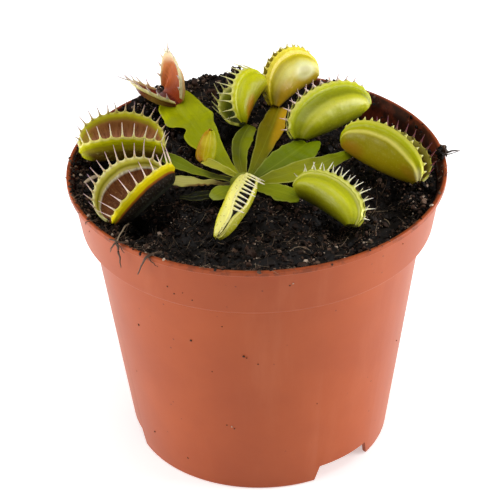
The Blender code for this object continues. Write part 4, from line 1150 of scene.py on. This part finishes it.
# roots hanging over the rim: points as azimuth (deg), radius beyond the rim (mm), height over it (mm); the
# thickness at the start and end (mm) and the tone
ROOTS = (
    (((-52, -7.5, -0.6), (-50, -5.6, 0.3), (-47, -2.6, 0.9), (-44.5, 0.9, 0.6)), 0.22, 0.16, 0.8),
    (((-44.5, 0.9, 0.7), (-45.6, 1.5, -0.9), (-47.3, 0.7, -3)), 0.26, 0.08, 0.35),
    (((-44, 0.8, 0.8), (-43.6, 0.9, -1.2), (-44.2, 0.1, -4.2), (-45, -0.5, -7)), 0.36, 0.1, 0.25),
    (((-42, -1.2, 0.4), (-43.5, 0.9, 1.2), (-46.5, 1, 0.9), (-48, 0.4, 0)), 0.24, 0.1, 0.2),
    (((-46.5, -0.9, 0.5), (-44.8, 0.9, 1), (-43, 0.9, 0.2), (-42, 0.3, -1.6)), 0.2, 0.08, 0.4),
    (((-31, -2.8, 0.2), (-33.2, 0.5, 0.4), (-35.4, 0.3, -2.6), (-38.2, -0.6, -6.6)), 0.3, 0.14, 0.2),
    (((-32.4, -1.4, 0.3), (-33.6, 0.6, -0.2), (-36.6, 0, -4.2)), 0.36, 0.12, 0.3),
    (((-33.6, 0.4, 0.2), (-31.6, 0.3, -1.2), (-30.4, -0.3, -2.4)), 0.16, 0.06, 0.3),
    (((-58, -2.2, 0.3), (-59, 0.5, 0.5), (-60, 0.6, -0.8)), 0.16, 0.06, 0.2),
    (((92, -0.8, 1.4), (92.6, 1.4, 1.9), (93.2, 3.4, 1.5)), 0.3, 0.12, 0.05),
    (((91, -0.6, 1.6), (90.2, 1.2, 2.4), (90.8, 2.6, 2.6)), 0.16, 0.06, 0.1),
)


def hang_roots(build):
    """Dark roots that trail over the lip."""
    for points, start, end, tone in ROOTS:
        corners = [on_wall(azimuth, RIM_R + out, RIM_Z + over) for azimuth, out, over in points]
        u = np.linspace(0, 1, 15)
        path = np.stack([evenly(axis, u) for axis in np.transpose(corners)], axis=1)
        path = path + 0.12 * np.sin(u * 17 + start * 90)[:, None] * unit(path * vec(1, 1, 0))
        tube(build, path, start + (end - start) * u, 6, tone=tone)


def hairs(build, rng, count, on_rim=False):
    """Short fine fibres, lying every way over the clods or across the lip."""
    for _ in range(count):
        if on_rim:
            spans = [rng.uniform(-75, -20), rng.uniform(-20, 60), rng.uniform(80, 100)]
            azimuth = rng.choice(spans, p=[0.6, 0.25, 0.15])
            spot = on_wall(azimuth, RIM_R - rng.uniform(0.2, 2.2), RIM_Z + rng.uniform(-0.1, 0.3))
        else:
            spot = on_wall(rng.uniform(-180, 180), math.sqrt(rng.uniform()) * (SOIL_EDGE_R - 1.5), 0)
            spot[2] = peat_top(spot[0], spot[1])[0] + 0.1
        heading, rise = rng.uniform(0, FULL_TURN), rng.normal(0.15, 0.35)
        ahead = polar(math.cos(rise), heading, abs(math.sin(rise)))
        u = np.linspace(0, 1, 4)[:, None]
        length = rng.uniform(0.8, 3.0)
        path = spot + ahead * length * u + unit(rng.normal(size=3)) * 0.25 * length * u ** 2
        tube(build, path, 0.03 + rng.uniform(0.01, 0.05) * (1 - u[:, 0]), 3, tone=rng.beta(1.2, 1.8))


ROOTLETS = 110
HAIRS = 1500
RIM_HAIRS = 110
# a pale husk lying by the wall between the two left traps: its points and thickness (mm)
HUSK = ((-40.3, -7.2, 72.9), (-39.2, -6.3, 73.2), (-38.0, -5.4, 73.4), (-36.9, -4.7, 73.3))
HUSK_RADII = (0.2, 0.32, 0.3, 0.14)


def strew_fibres(name, material, seed):
    """Fine roots and moss stems lying over the peat and over the rim."""
    rng = np.random.default_rng(seed)
    build = Build()
    u = np.linspace(0, 1, 7)
    for _ in range(ROOTLETS):
        spot = polar(math.sqrt(rng.uniform()) * (SOIL_EDGE_R - 3), rng.uniform(0, FULL_TURN), 0.0)
        heading, length = rng.uniform(0, FULL_TURN), rng.uniform(1.5, 8.0)
        steps = polar(length / 6, heading + rng.normal() * 1.2 * u, 0.0)
        path = spot + np.cumsum(steps, axis=0)
        if np.hypot(path[:, 0], path[:, 1]).max() > SOIL_EDGE_R:
            continue
        path[:, 2] = peat_top(path[:, 0], path[:, 1])[0] + 0.3 + rng.uniform(0, 0.5) * np.sin(math.pi * u)
        tube(build, path, rng.uniform(0.04, 0.11) * (1 - 0.7 * u) + 0.02, 5, tone=rng.beta(1.2, 1.6))
    hang_roots(build)
    hairs(build, rng, HAIRS)
    hairs(build, rng, RIM_HAIRS, on_rim=True)
    tube(build, np.array(HUSK), vec(*HUSK_RADII), 8, 2.0, tone=0.85)
    place(build.mesh(name, material), "peat")


# ---------------------------------------------------------------- everything together
CLOD_SEEDS = range(60, 100)
BLADE_SEEDS = range(100, 999, 11)
TRAP_SEEDS = range(200, 999, 17)
PEAT_SHADES = [(0, 9, 6, 5), (0.2, 28, 19, 14), (0.42, 70, 47, 36), (0.7, 126, 100, 82), (1, 204, 184, 164)]
FIBRE_SHADES = [(0, 46, 33, 24), (0.5, 94, 72, 54), (1, 176, 156, 128)]


def build_all():
    build_pot(pot_material())
    peat = tone_material("peat_look", PEAT_SHADES, 0.55, 0.16)
    build_soil(peat)
    for row in STREWN:
        scatter(peat, *row)
    scatter_on_rim("peat_on_rim", peat, 45)
    stick_specks(peat)
    for seed, (name, clod) in zip(CLOD_SEEDS, CLODS.items()):
        pile(name, peat, *clod, seed)
    fibre = tone_material("fibre_look", FIBRE_SHADES, 0.6)
    strew_fibres("peat_fibres", fibre, 43)
    build_crown()
    for seed, (name, spec) in zip(BLADE_SEEDS, BLADES.items()):
        build_blade(name, dict(PLAIN_BLADE, **spec), seed)
    for seed, (name, spec) in zip(TRAP_SEEDS, TRAPS.items()):
        build_trap(name, dict(PLAIN_TRAP, **spec), seed)


# ---------------------------------------------------------------- camera, floor and light
CAMERA_ELEVATION = math.radians(33.3)
CAMERA_ROLL = math.radians(-1.19)
CAMERA_LENS = 179.35
CAMERA_AWAY = 0.602    # m
CAMERA_AIM = (-1.95, 0.0, 48.4)
LIGHT_AIM = (0, 0, 45)
LIGHT_SIZE = 0.3       # m
LIGHTS = (("left", (-430, -60, 130), 1.65), ("right", (440, -20, 130), 2.3))     # spot (mm) and power (W)
SKY_POWER = 1.7        # W/m2
SKY_ANGLE = math.radians(60)
WORLD_GLOW = 0.10
FLOOR_HALF = 3.0       # m
FLOOR_DROP = 0.0002    # m under the pot's foot


def look_from_photo_side():
    """The camera stands before and above the pot, with a long lens."""
    rise, roll = CAMERA_ELEVATION, CAMERA_ROLL
    back = Vector((0, -math.cos(rise), math.sin(rise)))
    right, up = Vector((1, 0, 0)), Vector((0, math.sin(rise), math.cos(rise)))
    across = right * math.cos(roll) + up * math.sin(roll)
    over = up * math.cos(roll) - right * math.sin(roll)
    data = bpy.data.cameras.new("camera")
    data.sensor_width = 36.0
    data.lens = CAMERA_LENS
    data.clip_end = 20.0
    camera = show("camera", data)
    camera.matrix_world = Matrix((across, over, back)).transposed().to_4x4()
    camera.matrix_world.translation = Vector(CAMERA_AIM) * MM + back * CAMERA_AWAY
    bpy.context.scene.camera = camera


def add_floor():
    mesh = bpy.data.meshes.new("floor")
    corners = [(x * FLOOR_HALF, y * FLOOR_HALF, 0) for x, y in ((-1, -1), (1, -1), (1, 1), (-1, 1))]
    mesh.from_pydata(corners, [], [(0, 1, 2, 3)])
    floor = show("floor", mesh)
    floor.location.z = -FLOOR_DROP
    sh = Shader("floor_white", base_color=(0.93, 0.93, 0.93, 1.0), roughness=0.9, specular_ior_level=0.0,
                emission_color=(1.0, 1.0, 1.0, 1.0), emission_strength=0.45)
    mesh.materials.append(sh.material)


def area_light(name, spot, power):
    """A soft square light at spot (mm), facing the plant."""
    data = bpy.data.lights.new(name, "AREA")
    data.size = LIGHT_SIZE
    data.energy = power
    light = show(name, data)
    light.location = Vector(spot) * MM
    aim = Vector(LIGHT_AIM) * MM - light.location
    light.rotation_euler = aim.to_track_quat("-Z", "Y").to_euler()


def add_light():
    world = bpy.data.worlds.new("world")
    bpy.context.scene.world = world
    world.use_nodes = True
    background = world.node_tree.nodes["Background"]
    background.inputs["Color"].default_value = (1, 1, 1, 1)
    background.inputs["Strength"].default_value = WORLD_GLOW
    sky = bpy.data.lights.new("sky", "SUN")
    sky.energy = SKY_POWER
    sky.angle = SKY_ANGLE
    show("sky", sky)
    for light in LIGHTS:
        area_light(*light)


build_all()
look_from_photo_side()
add_floor()
add_light()
bpy.context.scene.view_settings.view_transform = "Standard"
